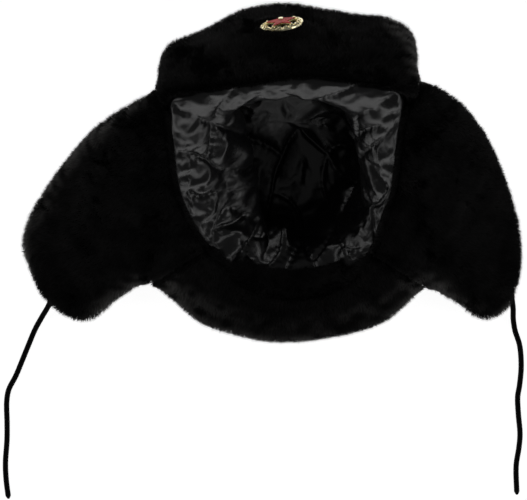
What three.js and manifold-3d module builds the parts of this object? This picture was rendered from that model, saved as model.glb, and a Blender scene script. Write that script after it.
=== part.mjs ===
// Ushanka: a fur hat lying on the back of its crown with the head opening turned up, its visor folded
// against the crown, its ear flaps spread out and their ties laid on the surface.
// Millimetres, +Z up. +X is the wearer's left, +Y points to the visor, and the hat rests on Z = 0.

import * as THREE from "three";
import { mergeVertices } from "three/addons/utils/BufferGeometryUtils.js";
import Module from "manifold-3d";

const wasm = await Module();
wasm.setup();

// Pose: the rim plane is tilted, and the rim's centre stands this high over the surface
const TILT = THREE.MathUtils.degToRad(42);
const RIM_CENTRE = new THREE.Vector3(10.2, -11.3, 111);

// Middle of the footprint without the ties, which becomes the part's origin
const FOOTPRINT_CENTRE = { x: -0.45, y: 1.3 };

// Clearance between pieces that touch on the real hat
const GAP = 0.35;

// Crown: a fur shell, half an egg that sits a little behind the rim's centre
const CROWN = { halfWidth: 92, halfLength: 100, setBack: 2, depth: 112, wall: 14 };
const SQUARENESS = 2.9;
const CROWN_BLEND = { upper: 20, lower: 32, end: 40 };
const FLANGE = { thickness: 2, step: 1 };
const SEAT_TOP = -40;
const VISOR_TUCK = { depth: 12, from: 40, full: 58, fullTo: 124, to: 142 };

// Lining: quilted cloth inside the crown, rolled outward over the rim
const LINING = { thickness: 4, shoulder: 16, lipWidth: 22, leastShoulder: 0.6, mostShoulder: 2 };
const CAVITY = {
  halfWidth: CROWN.halfWidth - CROWN.wall - LINING.thickness,
  halfLength: CROWN.halfLength - CROWN.wall - LINING.thickness,
  depth: CROWN.depth - CROWN.wall - LINING.thickness,
};
const BEARINGS = 40;
const DEPTH_STEPS = 7;

// Outer edge of the lining on the rim plane: bearing from the wearer's left toward the visor, radius
const RIM = [
  { bearing: 0, radius: 85.5 },
  { bearing: 10, radius: 87.4 },
  { bearing: 25, radius: 95.2 },
  { bearing: 36, radius: 108 },
  { bearing: 41, radius: 118 },
  { bearing: 46, radius: 133 },
  { bearing: 51, radius: 128.5 },
  { bearing: 60, radius: 120 },
  { bearing: 76, radius: 113.5 },
  { bearing: 97, radius: 108 },
  { bearing: 107, radius: 108.5 },
  { bearing: 119, radius: 113.5 },
  { bearing: 127, radius: 121 },
  { bearing: 135.5, radius: 130 },
  { bearing: 141, radius: 117.5 },
  { bearing: 151, radius: 102.6 },
  { bearing: 165, radius: 91.5 },
  { bearing: 181, radius: 86 },
  { bearing: 198, radius: 83.5 },
  { bearing: 216, radius: 85.4 },
  { bearing: 236, radius: 93 },
  { bearing: 252, radius: 105 },
  { bearing: 264, radius: 111.8 },
  { bearing: 278, radius: 114 },
  { bearing: 292, radius: 112.6 },
  { bearing: 305, radius: 104.8 },
  { bearing: 318, radius: 96.3 },
  { bearing: 334, radius: 86.5 },
  { bearing: 350, radius: 84.2 },
];

// Rolled lip of the lining: share of the way out from wall to rim, and share of the shoulder's depth
const LIP = [
  { out: 0.06, sink: 0.6 },
  { out: 0.2, sink: 0.27 },
  { out: 0.42, sink: 0.06 },
  { out: 0.7, sink: -0.06 },
  { out: 0.92, sink: -0.06 },
  { out: 1, sink: 0.04 },
];

// Flaps: padded fur panels that start at the rim, droop and lie on the surface
const FLAP = { half: 13, nose: 13, mostNose: 0.6, rootHalf: 12, rootSpan: 1 / 3, rootInset: 6, rootSink: 10 };
const FLAP_STEPS = { body: 7, nose: 4, end: 3 };

// Ribs of each flap: rim bearing, where its edge's middle lies, how far the rib bows to the visor, and
// the share of the rib by which it has come down; over 1 where the rib is cut short by a notch
const EAR_RIGHT_RIBS = [
  { bearing: 133, x: -89, y: 62, z: 160, bow: 0, settle: 1.5 },
  { bearing: 137, x: -103, y: 57, z: 150, bow: 0, settle: 1.5 },
  { bearing: 141, x: -123.5, y: 47, z: 130, bow: 0, settle: 1.5 },
  { bearing: 146, x: -148, y: 35, z: 98, bow: 0, settle: 1.5 },
  { bearing: 153, x: -172, y: 13, z: 60, bow: 0, settle: 1.45 },
  { bearing: 161, x: -191.5, y: -11, z: 33, bow: 0, settle: 1.35 },
  { bearing: 170, x: -206.5, y: -34, z: 18, bow: 0, settle: 1.22 },
  { bearing: 180, x: -213, y: -55, z: 12, bow: 0, settle: 1.12 },
  { bearing: 190, x: -208, y: -76, z: 12, bow: 0, settle: 1.05 },
  { bearing: 199, x: -198, y: -99, z: 12, bow: 0, settle: 1 },
  { bearing: 207, x: -186, y: -111, z: 12, bow: 0, settle: 0.97 },
  { bearing: 216, x: -172, y: -120, z: 12, bow: 3, settle: 0.9 },
  { bearing: 226, x: -155, y: -122, z: 12, bow: 8, settle: 0.82 },
];
const NECK_RIBS = [
  { bearing: 226, x: -104, y: -84, z: 23, bow: 0, settle: 1.45 },
  { bearing: 236, x: -85, y: -101, z: 16, bow: 0, settle: 1.2 },
  { bearing: 247, x: -64, y: -121.5, z: 11, bow: 0, settle: 1.05 },
  { bearing: 259, x: -35, y: -133, z: 10, bow: 0, settle: 1 },
  { bearing: 271, x: 2, y: -140, z: 9.5, bow: 0, settle: 1 },
  { bearing: 283, x: 40, y: -137.5, z: 10, bow: 0, settle: 1 },
  { bearing: 293, x: 72, y: -131, z: 11, bow: 0, settle: 1 },
  { bearing: 300, x: 93, y: -123.5, z: 12.5, bow: 0, settle: 1.05 },
  { bearing: 306, x: 107, y: -112, z: 15, bow: 0, settle: 1.2 },
  { bearing: 314, x: 129, y: -87, z: 23, bow: 0, settle: 1.5 },
];
const EAR_LEFT_RIBS = [
  { bearing: 314, x: 176, y: -120.5, z: 12, bow: 8, settle: 0.82 },
  { bearing: 322, x: 186, y: -120, z: 12, bow: 3, settle: 0.9 },
  { bearing: 331, x: 196, y: -115, z: 12, bow: 0, settle: 0.97 },
  { bearing: 341, x: 204.5, y: -106, z: 12, bow: 0, settle: 1 },
  { bearing: 350, x: 209, y: -92, z: 12, bow: 0, settle: 1.02 },
  { bearing: 359, x: 212, y: -74, z: 12, bow: 0, settle: 1.05 },
  { bearing: 368, x: 210.5, y: -51, z: 13, bow: 0, settle: 1.12 },
  { bearing: 377, x: 203, y: -22, z: 22, bow: 0, settle: 1.22 },
  { bearing: 386, x: 189.5, y: 8, z: 48, bow: 0, settle: 1.35 },
  { bearing: 393, x: 173, y: 34, z: 85, bow: 0, settle: 1.45 },
  { bearing: 398.5, x: 150.5, y: 55, z: 125, bow: 0, settle: 1.5 },
  { bearing: 402.5, x: 130, y: 66, z: 148, bow: 0, settle: 1.5 },
  { bearing: 407, x: 111, y: 69, z: 160, bow: 0, settle: 1.5 },
];

// Where along a rib its bow shows: fullest beside the notch between two flaps, gone at the edge's corner
const BOW = [
  { reach: 0, share: 0 },
  { reach: 0.3, share: 0.5 },
  { reach: 0.57, share: 1 },
  { reach: 0.7, share: 0.9 },
  { reach: 0.88, share: 0 },
  { reach: 1, share: 0 },
];

// An end is round over this many degrees, from this share of the rib outward: a notch starts partway out
const NO_END = { degrees: 0, from: 2 };
const VISOR_END = { degrees: 4, from: -1 };
const NOTCH_END = { degrees: 15, from: 0.42 };
const NOTCH_OPENING = 0.16;
const RIM_MM_PER_DEGREE = 1.6;
const FLAPS = [
  { name: "ear_flap_right", rows: EAR_RIGHT_RIBS, ribs: 17, start: VISOR_END, end: NOTCH_END },
  { name: "neck_flap", rows: NECK_RIBS, ribs: 15, start: NO_END, end: NO_END },
  { name: "ear_flap_left", rows: EAR_LEFT_RIBS, ribs: 17, start: NOTCH_END, end: VISOR_END },
];

// Visor: a padded panel from the fold at the rim down the front of the crown to its free edge
const VISOR = { half: 12, nose: 12, endNose: 0.06, edgeZ: 65, ribs: 15, body: 7, noseSteps: 4 };
const VISOR_STATIONS = [
  { at: 0, foldX: 110, foldY: 56, foldZ: 168, edgeX: 115, edgeY: 106 },
  { at: 0.08, foldX: 94, foldY: 56, foldZ: 176, edgeX: 97, edgeY: 123 },
  { at: 0.21, foldX: 67, foldY: 58, foldZ: 181, edgeX: 70, edgeY: 126 },
  { at: 0.35, foldX: 38, foldY: 60, foldZ: 183, edgeX: 40, edgeY: 131 },
  { at: 0.5, foldX: 8, foldY: 60, foldZ: 183, edgeX: 8, edgeY: 136 },
  { at: 0.65, foldX: -22, foldY: 59, foldZ: 182, edgeX: -24, edgeY: 130 },
  { at: 0.78, foldX: -48, foldY: 57, foldZ: 180, edgeX: -48, edgeY: 116 },
  { at: 0.89, foldX: -70, foldY: 54, foldZ: 176, edgeX: -69, edgeY: 107 },
  { at: 0.96, foldX: -82, foldY: 52, foldZ: 171, edgeX: -80, edgeY: 102 },
  { at: 1, foldX: -88, foldY: 52, foldZ: 166, edgeX: -87, edgeY: 90 },
];
const VISOR_FALL = [
  { reach: 0, out: 0, drop: 0 },
  { reach: 0.22, out: 0.29, drop: 0.17 },
  { reach: 0.4, out: 0.51, drop: 0.34 },
  { reach: 0.65, out: 0.73, drop: 0.61 },
  { reach: 1, out: 1, drop: 1 },
];

// Ties: round cords, each with the points that its middle runs through, from inside the flap's edge
const TIE = { radius: 2.4, sides: 8, steps: 24, socketDepth: 0.4 };
const TIES = [
  {
    name: "tie_cord_right",
    route: [
      [-184.4, -93, 12.5], [-188, -101, 11], [-192.6, -109.5, 8], [-198, -118, 4.7], [-203.7, -128, 2.7],
      [-209.2, -141, 2.7], [-214.5, -154, 2.7], [-220.3, -168, 2.7], [-226.4, -180, 2.7], [-228.1, -190, 2.7],
      [-227.8, -209, 2.7], [-227.9, -223, 2.7], [-229.2, -243, 2.7], [-228.6, -257, 2.7],
      [-226.5, -273.5, 2.7],
    ],
  },
  {
    name: "tie_cord_left",
    route: [
      [202.3, -92, 12.5], [204.3, -101, 11], [205.8, -110, 8], [206.4, -119, 4.7], [208.2, -129, 2.7],
      [212.2, -142, 2.7], [213.5, -160, 2.7], [212.1, -176, 2.7], [210.5, -186, 2.7], [211.1, -201, 2.7],
      [212.5, -218, 2.7], [211.5, -230, 2.7], [209.2, -245, 2.7], [209.8, -270, 2.7],
    ],
  },
];

// Badge: a wreath around a five-pointed star, pinned through the visor, a little askew
const BADGE = {
  station: 0.505, reach: 0.5, sink: 1, turn: 8, lean: -5, plate: 1.4, lift: 0.3, post: 1.4, postLength: 8,
  pocket: 18.4, pocketTop: 9, wreathRadius: 14.2, wreathWidth: 5.4, wreathFrom: 124, wreathTo: 416,
  leaves: 14, leafLength: 2.9, leafWidth: 1.35, leafHeight: 1.4, leafTurn: 24, starTip: 14.2,
  starInner: 5.7, starFloor: 2.8, rim: 0.45, rimHeight: 0.6, tipShare: 2.4, boss: 1.9, bossTop: 6.4,
  sides: 20, postSides: 10,
};
const ENAMEL = { thickness: 0.8, ridge: 3.1, inset: 0.35 };

// Finishes
const blackFur = { color: 0x0c0c0d, roughness: 0.95, metalness: 0 };
const blackSatin = { color: 0x1c1c1f, roughness: 0.38, metalness: 0 };
const blackCord = { color: 0x0a0a0a, roughness: 0.8, metalness: 0 };
const gilt = { color: 0xc9a24a, roughness: 0.3, metalness: 1 };
const redEnamel = { color: 0xa3180f, roughness: 0.18, metalness: 0 };

// Value of one column of a table at a place between its rows or just past them, on a smooth curve
function between(rows, key, column, at) {
  let i = rows.findIndex((row) => row[key] >= at);
  i = THREE.MathUtils.clamp(i === -1 ? rows.length - 1 : i, 1, rows.length - 1);
  const slope = (k) => {
    const before = rows[Math.max(k - 1, 0)];
    const after = rows[Math.min(k + 1, rows.length - 1)];
    return (after[column] - before[column]) / (after[key] - before[key]);
  };
  const span = rows[i][key] - rows[i - 1][key];
  const t = (at - rows[i - 1][key]) / span;
  const start = rows[i - 1][column];
  const end = rows[i][column];
  return (
    start * (2 * t ** 3 - 3 * t ** 2 + 1) + end * (3 * t ** 2 - 2 * t ** 3) +
    span * (slope(i - 1) * (t ** 3 - 2 * t ** 2 + t) + slope(i) * (t ** 3 - t ** 2))
  );
}

// The rim's rows repeated before and after, so that the curve closes on itself
const RIM_ROUND = [-360, 0, 360].flatMap((turn) =>
  RIM.map((row) => ({ bearing: row.bearing + turn, radius: row.radius }))
);
const rimRadius = (bearing) => between(RIM_ROUND, "bearing", "radius", bearing % 360);

// From the hat's own frame (across, toward the visor, into the crown) to the part's frame
function place(x, forward, inward) {
  return new THREE.Vector3(
    x,
    forward * Math.cos(TILT) + inward * Math.sin(TILT),
    forward * Math.sin(TILT) - inward * Math.cos(TILT)
  ).add(RIM_CENTRE);
}

function onRim(bearing, radius, inward) {
  const angle = THREE.MathUtils.degToRad(bearing);
  return place(radius * Math.cos(angle), radius * Math.sin(angle), inward);
}

function onEgg(egg, bearing, inward) {
  const angle = THREE.MathUtils.degToRad(bearing);
  const narrow = Math.max(0, 1 - (Math.max(inward, 0) / egg.depth) ** SQUARENESS) ** (1 / SQUARENESS);
  return place(
    egg.halfWidth * narrow * Math.cos(angle),
    egg.halfLength * narrow * Math.sin(angle) - CROWN.setBack,
    inward
  );
}

const poleOf = (egg) => place(0, -CROWN.setBack, egg.depth);

function grown(egg, by) {
  return { halfWidth: egg.halfWidth + by, halfLength: egg.halfLength + by, depth: egg.depth + by };
}

// Depths of an egg's rings from a starting depth to just short of its pole, evenly spread along its curve
function ringDepths(egg, from, steps) {
  const start = Math.asin((from / egg.depth) ** (SQUARENESS / 2));
  return Array.from({ length: steps }, (_, i) => {
    const angle = THREE.MathUtils.lerp(start, Math.PI / 2, i / steps);
    return egg.depth * Math.sin(angle) ** (2 / SQUARENESS);
  });
}

// Closed body from points and triangles: shared points merged, flat triangles dropped, faces out
function closedSolid(points, triangles) {
  const soup = new THREE.BufferGeometry();
  soup.setAttribute("position", new THREE.Float32BufferAttribute(points.flatMap((p) => [p.x, p.y, p.z]), 3));
  soup.setIndex(triangles.flat());
  return solidOf(soup);
}

function solidOf(geometry) {
  const bare = geometry.clone();
  bare.deleteAttribute("normal");
  bare.deleteAttribute("uv");
  const merged = mergeVertices(bare, 1e-3);
  const position = merged.getAttribute("position");
  const faces = [];
  let volume = 0;
  const corner = (i) => new THREE.Vector3().fromBufferAttribute(position, i);
  for (let i = 0; i < merged.index.count; i += 3) {
    const [a, b, c] = [0, 1, 2].map((k) => merged.index.getX(i + k));
    if (a !== b && b !== c && c !== a) {
      faces.push([a, b, c]);
      volume += corner(a).dot(corner(b).cross(corner(c)));
    }
  }
  const turned = faces.map(([a, b, c]) => (volume > 0 ? [a, b, c] : [a, c, b]));
  return new wasm.Manifold(
    new wasm.Mesh({ numProp: 3, vertProperties: position.array, triVerts: new Uint32Array(turned.flat()) })
  );
}

function geometryOf(solid) {
  const mesh = solid.getMesh();
  const geometry = new THREE.BufferGeometry();
  geometry.setAttribute("position", new THREE.BufferAttribute(mesh.vertProperties, 3));
  geometry.setIndex(new THREE.BufferAttribute(mesh.triVerts, 1));
  geometry.computeVertexNormals();
  return geometry;
}

const flattened = (point) => point.setZ(Math.max(point.z, 0));

// Closed body around the crown's axis, from one profile for each bearing and a pole at either end
function turnedSolid(profileAt, startPole, endPole) {
  const profiles = Array.from({ length: BEARINGS }, (_, i) => profileAt((360 * i) / BEARINGS));
  const points = [startPole, ...profiles.flat(), endPole];
  const length = profiles[0].length;
  const triangles = [];
  profiles.forEach((_, i) => {
    const here = 1 + i * length;
    const next = 1 + ((i + 1) % BEARINGS) * length;
    triangles.push([0, here, next], [points.length - 1, next + length - 1, here + length - 1]);
    for (let j = 0; j < length - 1; j++) {
      triangles.push([here + j, here + j + 1, next + j + 1], [here + j, next + j + 1, next + j]);
    }
  });
  return closedSolid(points, triangles);
}

// One bearing of a bowl that hugs the cavity: up its wall from the pole, then outward over the rim
function bowlProfile(offset, bearing) {
  const egg = grown(CAVITY, offset);
  const rim = rimRadius(bearing);
  const lip = (rim - CAVITY.halfWidth) / LINING.lipWidth;
  const shoulder = LINING.shoulder * THREE.MathUtils.clamp(lip, LINING.leastShoulder, LINING.mostShoulder);
  const wall = ringDepths(egg, shoulder + offset, DEPTH_STEPS).map((inward) => onEgg(egg, bearing, inward));
  const foot = onEgg(egg, bearing, offset);
  const edge = onRim(bearing, rim, offset);
  const inward = new THREE.Vector3(0, Math.sin(TILT), -Math.cos(TILT));
  const over = LIP.map(({ out, sink }) =>
    foot.clone().lerp(edge, out).addScaledVector(inward, sink * shoulder)
  );
  return [...wall.reverse(), ...over];
}

function makeLining() {
  const profile = (bearing) => [
    ...bowlProfile(0, bearing),
    ...bowlProfile(LINING.thickness, bearing).reverse(),
  ];
  return turnedSolid(profile, poleOf(CAVITY), poleOf(grown(CAVITY, LINING.thickness)));
}

// How far the crown steps in under the lining's lip, to make room for the visor's root
function tuckAt(bearing) {
  const { depth, from, full, fullTo, to } = VISOR_TUCK;
  const rise = THREE.MathUtils.smoothstep(bearing, from, full);
  const fall = 1 - THREE.MathUtils.smoothstep(bearing, fullTo, to);
  return depth * rise * fall;
}

// One bearing of the crown's outside, from the rim's edge down to the pole
function crownOutside(bearing, grow, top) {
  const egg = grown(CROWN, grow);
  const rim = rimRadius(bearing) + grow;
  const flangeEnd = LINING.thickness + GAP + LINING.shoulder * LIP.at(-1).sink + FLANGE.thickness + grow;
  const stepIn = flangeEnd + FLANGE.step;
  const flange = [onRim(bearing, rim, top), onRim(bearing, rim, flangeEnd)];
  const { upper, lower, end } = CROWN_BLEND;
  const depths = [stepIn, upper, lower, ...ringDepths(egg, end + grow, DEPTH_STEPS)];
  const wall = depths.map((inward) => {
    const blend = THREE.MathUtils.smoothstep(inward, stepIn, end);
    return onRim(bearing, rim - tuckAt(bearing), inward).lerp(onEgg(egg, bearing, inward), blend);
  });
  return [...flange, ...wall];
}

function makeCrown() {
  const offset = LINING.thickness + GAP;
  const profile = (bearing) => {
    const inside = bowlProfile(offset, bearing);
    const outside = crownOutside(bearing, 0, offset + LINING.shoulder * LIP.at(-1).sink);
    return [...outside.slice(1).map(flattened).reverse(), ...inside.reverse()];
  };
  return turnedSolid(profile, flattened(poleOf(CROWN)), poleOf(grown(CAVITY, offset)));
}

// Everything within the crown's outside and the lining's edge, a gap larger, to seat the panels on
function makeSeat() {
  const profile = (bearing) => crownOutside(bearing, GAP, SEAT_TOP).reverse();
  return turnedSolid(profile, poleOf(grown(CROWN, GAP)), place(0, -CROWN.setBack, SEAT_TOP));
}

// Places along a panel with how full it is there, the same fullness all the way
function evenSteps(from, to, count) {
  return Array.from({ length: count + 1 }, (_, i) => {
    const at = THREE.MathUtils.lerp(from, to, i / count);
    return { at, swell: 1 };
  });
}

// Places from a panel's very end inward over a quarter-round nose, short of where it is full
function roundedSteps(end, nose, count) {
  return Array.from({ length: nose === 0 ? 0 : count }, (_, i) => {
    const angle = (Math.PI / 2) * (i / count);
    return { at: end + nose * (1 - Math.cos(angle)), swell: Math.sin(angle) };
  });
}

// Unit normal of a panel's middle surface, on the side that faces away from the crown or up
function normalAt(middle, across, reach) {
  const step = 1e-3;
  const side = middle(across + step, reach).sub(middle(across - step, reach));
  const run = middle(across, reach + step).sub(middle(across, reach - step));
  return run.cross(side).normalize();
}

// Padded panel: two sheets either side of a middle surface, closed by walls where it isn't round
function padSolid({ middle, halfAt, across, reachesAt }) {
  const points = [];
  const sheets = [1, -1].map((face) =>
    across.map((column) =>
      reachesAt(column.at).map((row) => {
        const point = middle(column.at, row.at);
        point.addScaledVector(normalAt(middle, column.at, row.at), face * halfAt(column, row));
        return points.push(flattened(point)) - 1;
      })
    )
  );
  const triangles = [];
  const quad = (a, b, c, d) => triangles.push([a, b, c], [a, c, d]);
  const [top, bottom] = sheets;
  const lastColumn = top.length - 1;
  const lastRow = top[0].length - 1;
  for (let i = 0; i < lastColumn; i++) {
    for (let j = 0; j < lastRow; j++) {
      quad(top[i][j], top[i + 1][j], top[i + 1][j + 1], top[i][j + 1]);
      quad(bottom[i][j], bottom[i][j + 1], bottom[i + 1][j + 1], bottom[i + 1][j]);
    }
    quad(top[i][0], bottom[i][0], bottom[i + 1][0], top[i + 1][0]);
    quad(top[i][lastRow], top[i + 1][lastRow], bottom[i + 1][lastRow], bottom[i][lastRow]);
  }
  for (let j = 0; j < lastRow; j++) {
    quad(top[0][j], top[0][j + 1], bottom[0][j + 1], bottom[0][j]);
    quad(top[lastColumn][j], bottom[lastColumn][j], bottom[lastColumn][j + 1], top[lastColumn][j + 1]);
  }
  return closedSolid(points, triangles);
}

// Middle surface of a flap, by rim bearing and by share of the way from the rim to the flap's edge
function flapMiddle(rows, bearing, reach) {
  const root = onRim(bearing, rimRadius(bearing) - FLAP.rootInset, FLAP.rootSink);
  const rib = (column) => between(rows, "bearing", column, bearing);
  const settle = rib("settle");
  const droop = THREE.MathUtils.smoothstep(reach, 0, settle) / THREE.MathUtils.smoothstep(1, 0, settle);
  const bow = rib("bow") * between(BOW, "reach", "share", reach);
  return new THREE.Vector3(
    THREE.MathUtils.lerp(root.x, rib("x"), reach),
    THREE.MathUtils.lerp(root.y, rib("y"), reach) + bow,
    THREE.MathUtils.lerp(root.z, rib("z"), droop)
  );
}

// How much of an end's roundness a rib shows at a place along it
function openness({ from }, reach) {
  return THREE.MathUtils.smoothstep(reach, from, from + NOTCH_OPENING);
}

function makeFlap({ rows, ribs, start, end }, grow) {
  const seam = (end) => (end.degrees ? 0 : GAP / 2);
  const first = rows[0].bearing + (seam(start) - grow) / RIM_MM_PER_DEGREE;
  const last = rows.at(-1).bearing - (seam(end) - grow) / RIM_MM_PER_DEGREE;
  const middle = (bearing, reach) => flapMiddle(rows, bearing, reach);
  const across = [
    ...roundedSteps(first, start.degrees, FLAP_STEPS.end),
    ...evenSteps(first + start.degrees, last - end.degrees, ribs),
    ...roundedSteps(last, -end.degrees, FLAP_STEPS.end).reverse(),
  ];
  const reachesAt = (bearing) => {
    const length = middle(bearing, 0).distanceTo(middle(bearing, 1));
    const nose = Math.min(FLAP.nose / length, FLAP.mostNose);
    const tip = 1 + grow / length;
    return [
      ...evenSteps(-grow / length, tip - nose, FLAP_STEPS.body),
      ...roundedSteps(tip, -nose, FLAP_STEPS.nose).reverse(),
    ];
  };
  const halfAt = (step, row) => {
    const half = grow + THREE.MathUtils.lerp(FLAP.rootHalf, FLAP.half, Math.min(1, row.at / FLAP.rootSpan));
    const nearStart = Math.abs(step.at - first) < start.degrees;
    const open = openness(nearStart ? start : end, row.at);
    return half * THREE.MathUtils.lerp(1, step.swell, open) * row.swell;
  };
  return padSolid({ middle, halfAt, across, reachesAt });
}

// Middle surface of the visor, by share of the way from the wearer's left to right, and down from the fold
function visorMiddle(at, reach) {
  const station = (column) => between(VISOR_STATIONS, "at", column, at);
  const out = between(VISOR_FALL, "reach", "out", reach);
  const drop = between(VISOR_FALL, "reach", "drop", reach);
  return new THREE.Vector3(
    THREE.MathUtils.lerp(station("foldX"), station("edgeX"), reach),
    THREE.MathUtils.lerp(station("foldY"), station("edgeY"), out),
    THREE.MathUtils.lerp(station("foldZ"), VISOR.edgeZ, drop)
  );
}

function makeVisor(grow) {
  const width = visorMiddle(0, 0.5).distanceTo(visorMiddle(1, 0.5));
  const length = visorMiddle(0.5, 0).distanceTo(visorMiddle(0.5, 1));
  const left = -grow / width;
  const right = 1 + grow / width;
  const tip = 1 + grow / length;
  const across = [
    ...roundedSteps(left, VISOR.endNose, VISOR.noseSteps),
    ...evenSteps(left + VISOR.endNose, right - VISOR.endNose, VISOR.ribs),
    ...roundedSteps(right, -VISOR.endNose, VISOR.noseSteps).reverse(),
  ];
  const nose = VISOR.nose / length;
  const reaches = [
    ...evenSteps(-grow / length, tip - nose, VISOR.body),
    ...roundedSteps(tip, -nose, VISOR.noseSteps).reverse(),
  ];
  const halfAt = (column, row) => (VISOR.half + grow) * column.swell * row.swell;
  return padSolid({ middle: visorMiddle, halfAt, across, reachesAt: () => reaches });
}

// Round cord along its route, its first end pulled back by a given length
function tieSolid(route, radius, pullBack) {
  const points = route.map(([x, y, z]) => new THREE.Vector3(x, y, z));
  const back = points[0].clone().sub(points[1]).setLength(pullBack);
  points[0].add(back);
  const section = new THREE.Shape();
  for (let i = 0; i < TIE.sides; i++) {
    const angle = (2 * Math.PI * i) / TIE.sides;
    const corner = [radius * Math.cos(angle), radius * Math.sin(angle)];
    i === 0 ? section.moveTo(...corner) : section.lineTo(...corner);
  }
  section.closePath();
  const path = new THREE.CatmullRomCurve3(points);
  return solidOf(new THREE.ExtrudeGeometry(section, { steps: TIE.steps, extrudePath: path }));
}

// The badge's frame on the visor: X to the wearer's left, Y to the free edge, Z out of the fur
function badgeFrame() {
  const normal = normalAt(visorMiddle, BADGE.station, BADGE.reach);
  const step = 1e-3;
  const up = visorMiddle(BADGE.station, BADGE.reach + step).sub(visorMiddle(BADGE.station, BADGE.reach));
  const right = up.clone().cross(normal).normalize();
  const middle = visorMiddle(BADGE.station, BADGE.reach);
  const origin = middle.addScaledVector(normal, VISOR.half - BADGE.sink);
  const turn = new THREE.Matrix4().makeRotationZ(THREE.MathUtils.degToRad(BADGE.turn));
  const lean = new THREE.Matrix4().makeRotationX(THREE.MathUtils.degToRad(BADGE.lean));
  const square = new THREE.Matrix4().makeBasis(right, normal.clone().cross(right), normal);
  return turn.multiply(square).multiply(lean).setPosition(origin);
}

function starShape(tip, inner) {
  const shape = new THREE.Shape();
  for (let i = 0; i < 10; i++) {
    const angle = Math.PI / 2 + (Math.PI * i) / 5;
    const radius = i % 2 === 0 ? tip : inner;
    const corner = [radius * Math.cos(angle), radius * Math.sin(angle)];
    i === 0 ? shape.moveTo(...corner) : shape.lineTo(...corner);
  }
  shape.closePath();
  return shape;
}

function slab(shape, depth, z) {
  return solidOf(new THREE.ExtrudeGeometry(shape, { depth, bevelEnabled: false }).translate(0, 0, z));
}

function rod(radius, length, z, sides) {
  const geometry = new THREE.CylinderGeometry(radius, radius, length, sides);
  return solidOf(geometry.rotateX(Math.PI / 2).translate(0, 0, z + length / 2));
}

// Star with a ridge to each tip, highest in the middle
function ridgedStar(tip, inner, base, ridge) {
  const outline = starShape(tip, inner).getPoints().slice(0, 10);
  const points = [
    ...outline.map((p) => new THREE.Vector3(p.x, p.y, 0)),
    ...outline.map((p) => new THREE.Vector3(p.x, p.y, base)),
    new THREE.Vector3(0, 0, 0),
    new THREE.Vector3(0, 0, ridge),
  ];
  const triangles = [];
  for (let i = 0; i < 10; i++) {
    const next = (i + 1) % 10;
    triangles.push([20, next, i], [21, 10 + i, 10 + next], [i, next, 10 + next], [i, 10 + next, 10 + i]);
  }
  return closedSolid(points, triangles);
}

// Leaf with a raised midrib, lying along X and broadest toward its stalk
function leafSolid(length, width, height) {
  const half = [
    [-1, 0], [-0.55, 0.8], [-0.1, 1], [0.45, 0.7], [1, 0],
  ];
  const outline = [...half, ...half.slice(1, -1).reverse().map(([x, y]) => [x, -y])];
  const points = outline.map(([x, y]) => new THREE.Vector3(x * length, y * width, 0));
  points.push(new THREE.Vector3(-0.6 * length, 0, height), new THREE.Vector3(0.5 * length, 0, 0.8 * height));
  const [stalk, tip] = [points.length - 2, points.length - 1];
  const triangles = [];
  for (let i = 0; i < outline.length; i++) {
    const next = (i + 1) % outline.length;
    const towardTip = [2, 3, 4, 5].includes(i);
    triangles.push([i, next, towardTip ? tip : stalk]);
    if (i > 0 && next > 0) {
      triangles.push([0, next, i]);
    }
  }
  triangles.push([2, tip, stalk], [6, stalk, tip]);
  return closedSolid(points, triangles);
}

function wreathLeaves() {
  const leaves = [];
  for (let i = 0; i < BADGE.leaves; i++) {
    const along = (i + 0.5) / BADGE.leaves;
    const bearing = THREE.MathUtils.lerp(BADGE.wreathFrom, BADGE.wreathTo, along);
    const branch = along < 0.5 ? -1 : 1;
    [-1, 1].forEach((row) => {
      const radius = BADGE.wreathRadius + (row * BADGE.wreathWidth) / 4;
      const angle = THREE.MathUtils.degToRad(bearing);
      const leaf = leafSolid(BADGE.leafLength, BADGE.leafWidth, BADGE.leafHeight)
        .rotate([0, 0, bearing + branch * (90 - row * BADGE.leafTurn)])
        .translate([radius * Math.cos(angle), radius * Math.sin(angle), BADGE.lift + BADGE.plate - GAP / 2]);
      leaves.push(leaf);
    });
  }
  return leaves;
}

function makeBadge() {
  const inner = BADGE.wreathRadius - BADGE.wreathWidth / 2;
  const outer = BADGE.wreathRadius + BADGE.wreathWidth / 2;
  const from = THREE.MathUtils.degToRad(BADGE.wreathFrom);
  const to = THREE.MathUtils.degToRad(BADGE.wreathTo);
  const band = new THREE.Shape().absarc(0, 0, outer, from, to, false).absarc(0, 0, inner, to, from, true);
  const innerTip = BADGE.starTip - BADGE.tipShare * BADGE.rim;
  const tray = slab(starShape(BADGE.starTip, BADGE.starInner), BADGE.starFloor + BADGE.rimHeight, 0).subtract(
    slab(starShape(innerTip, BADGE.starInner - BADGE.rim), BADGE.rimHeight + 1, BADGE.starFloor)
  );
  return [
    slab(band, BADGE.plate, BADGE.lift),
    tray,
    rod(BADGE.boss, BADGE.bossTop - BADGE.plate, BADGE.plate, BADGE.sides),
    rod(BADGE.post, BADGE.postLength + BADGE.lift + BADGE.plate / 2, -BADGE.postLength, BADGE.postSides),
    ...wreathLeaves(),
  ].reduce((whole, piece) => whole.add(piece));
}

function makeBadgeStar() {
  const floor = BADGE.starFloor + ENAMEL.inset;
  const shrink = BADGE.rim + ENAMEL.inset;
  const tip = BADGE.starTip - BADGE.tipShare * shrink;
  const star = ridgedStar(tip, BADGE.starInner - shrink, ENAMEL.thickness, ENAMEL.ridge);
  const bore = rod(BADGE.boss + ENAMEL.inset, ENAMEL.ridge + 2, floor - 1, BADGE.sides);
  return star.translate([0, 0, floor]).subtract(bore);
}

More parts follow.
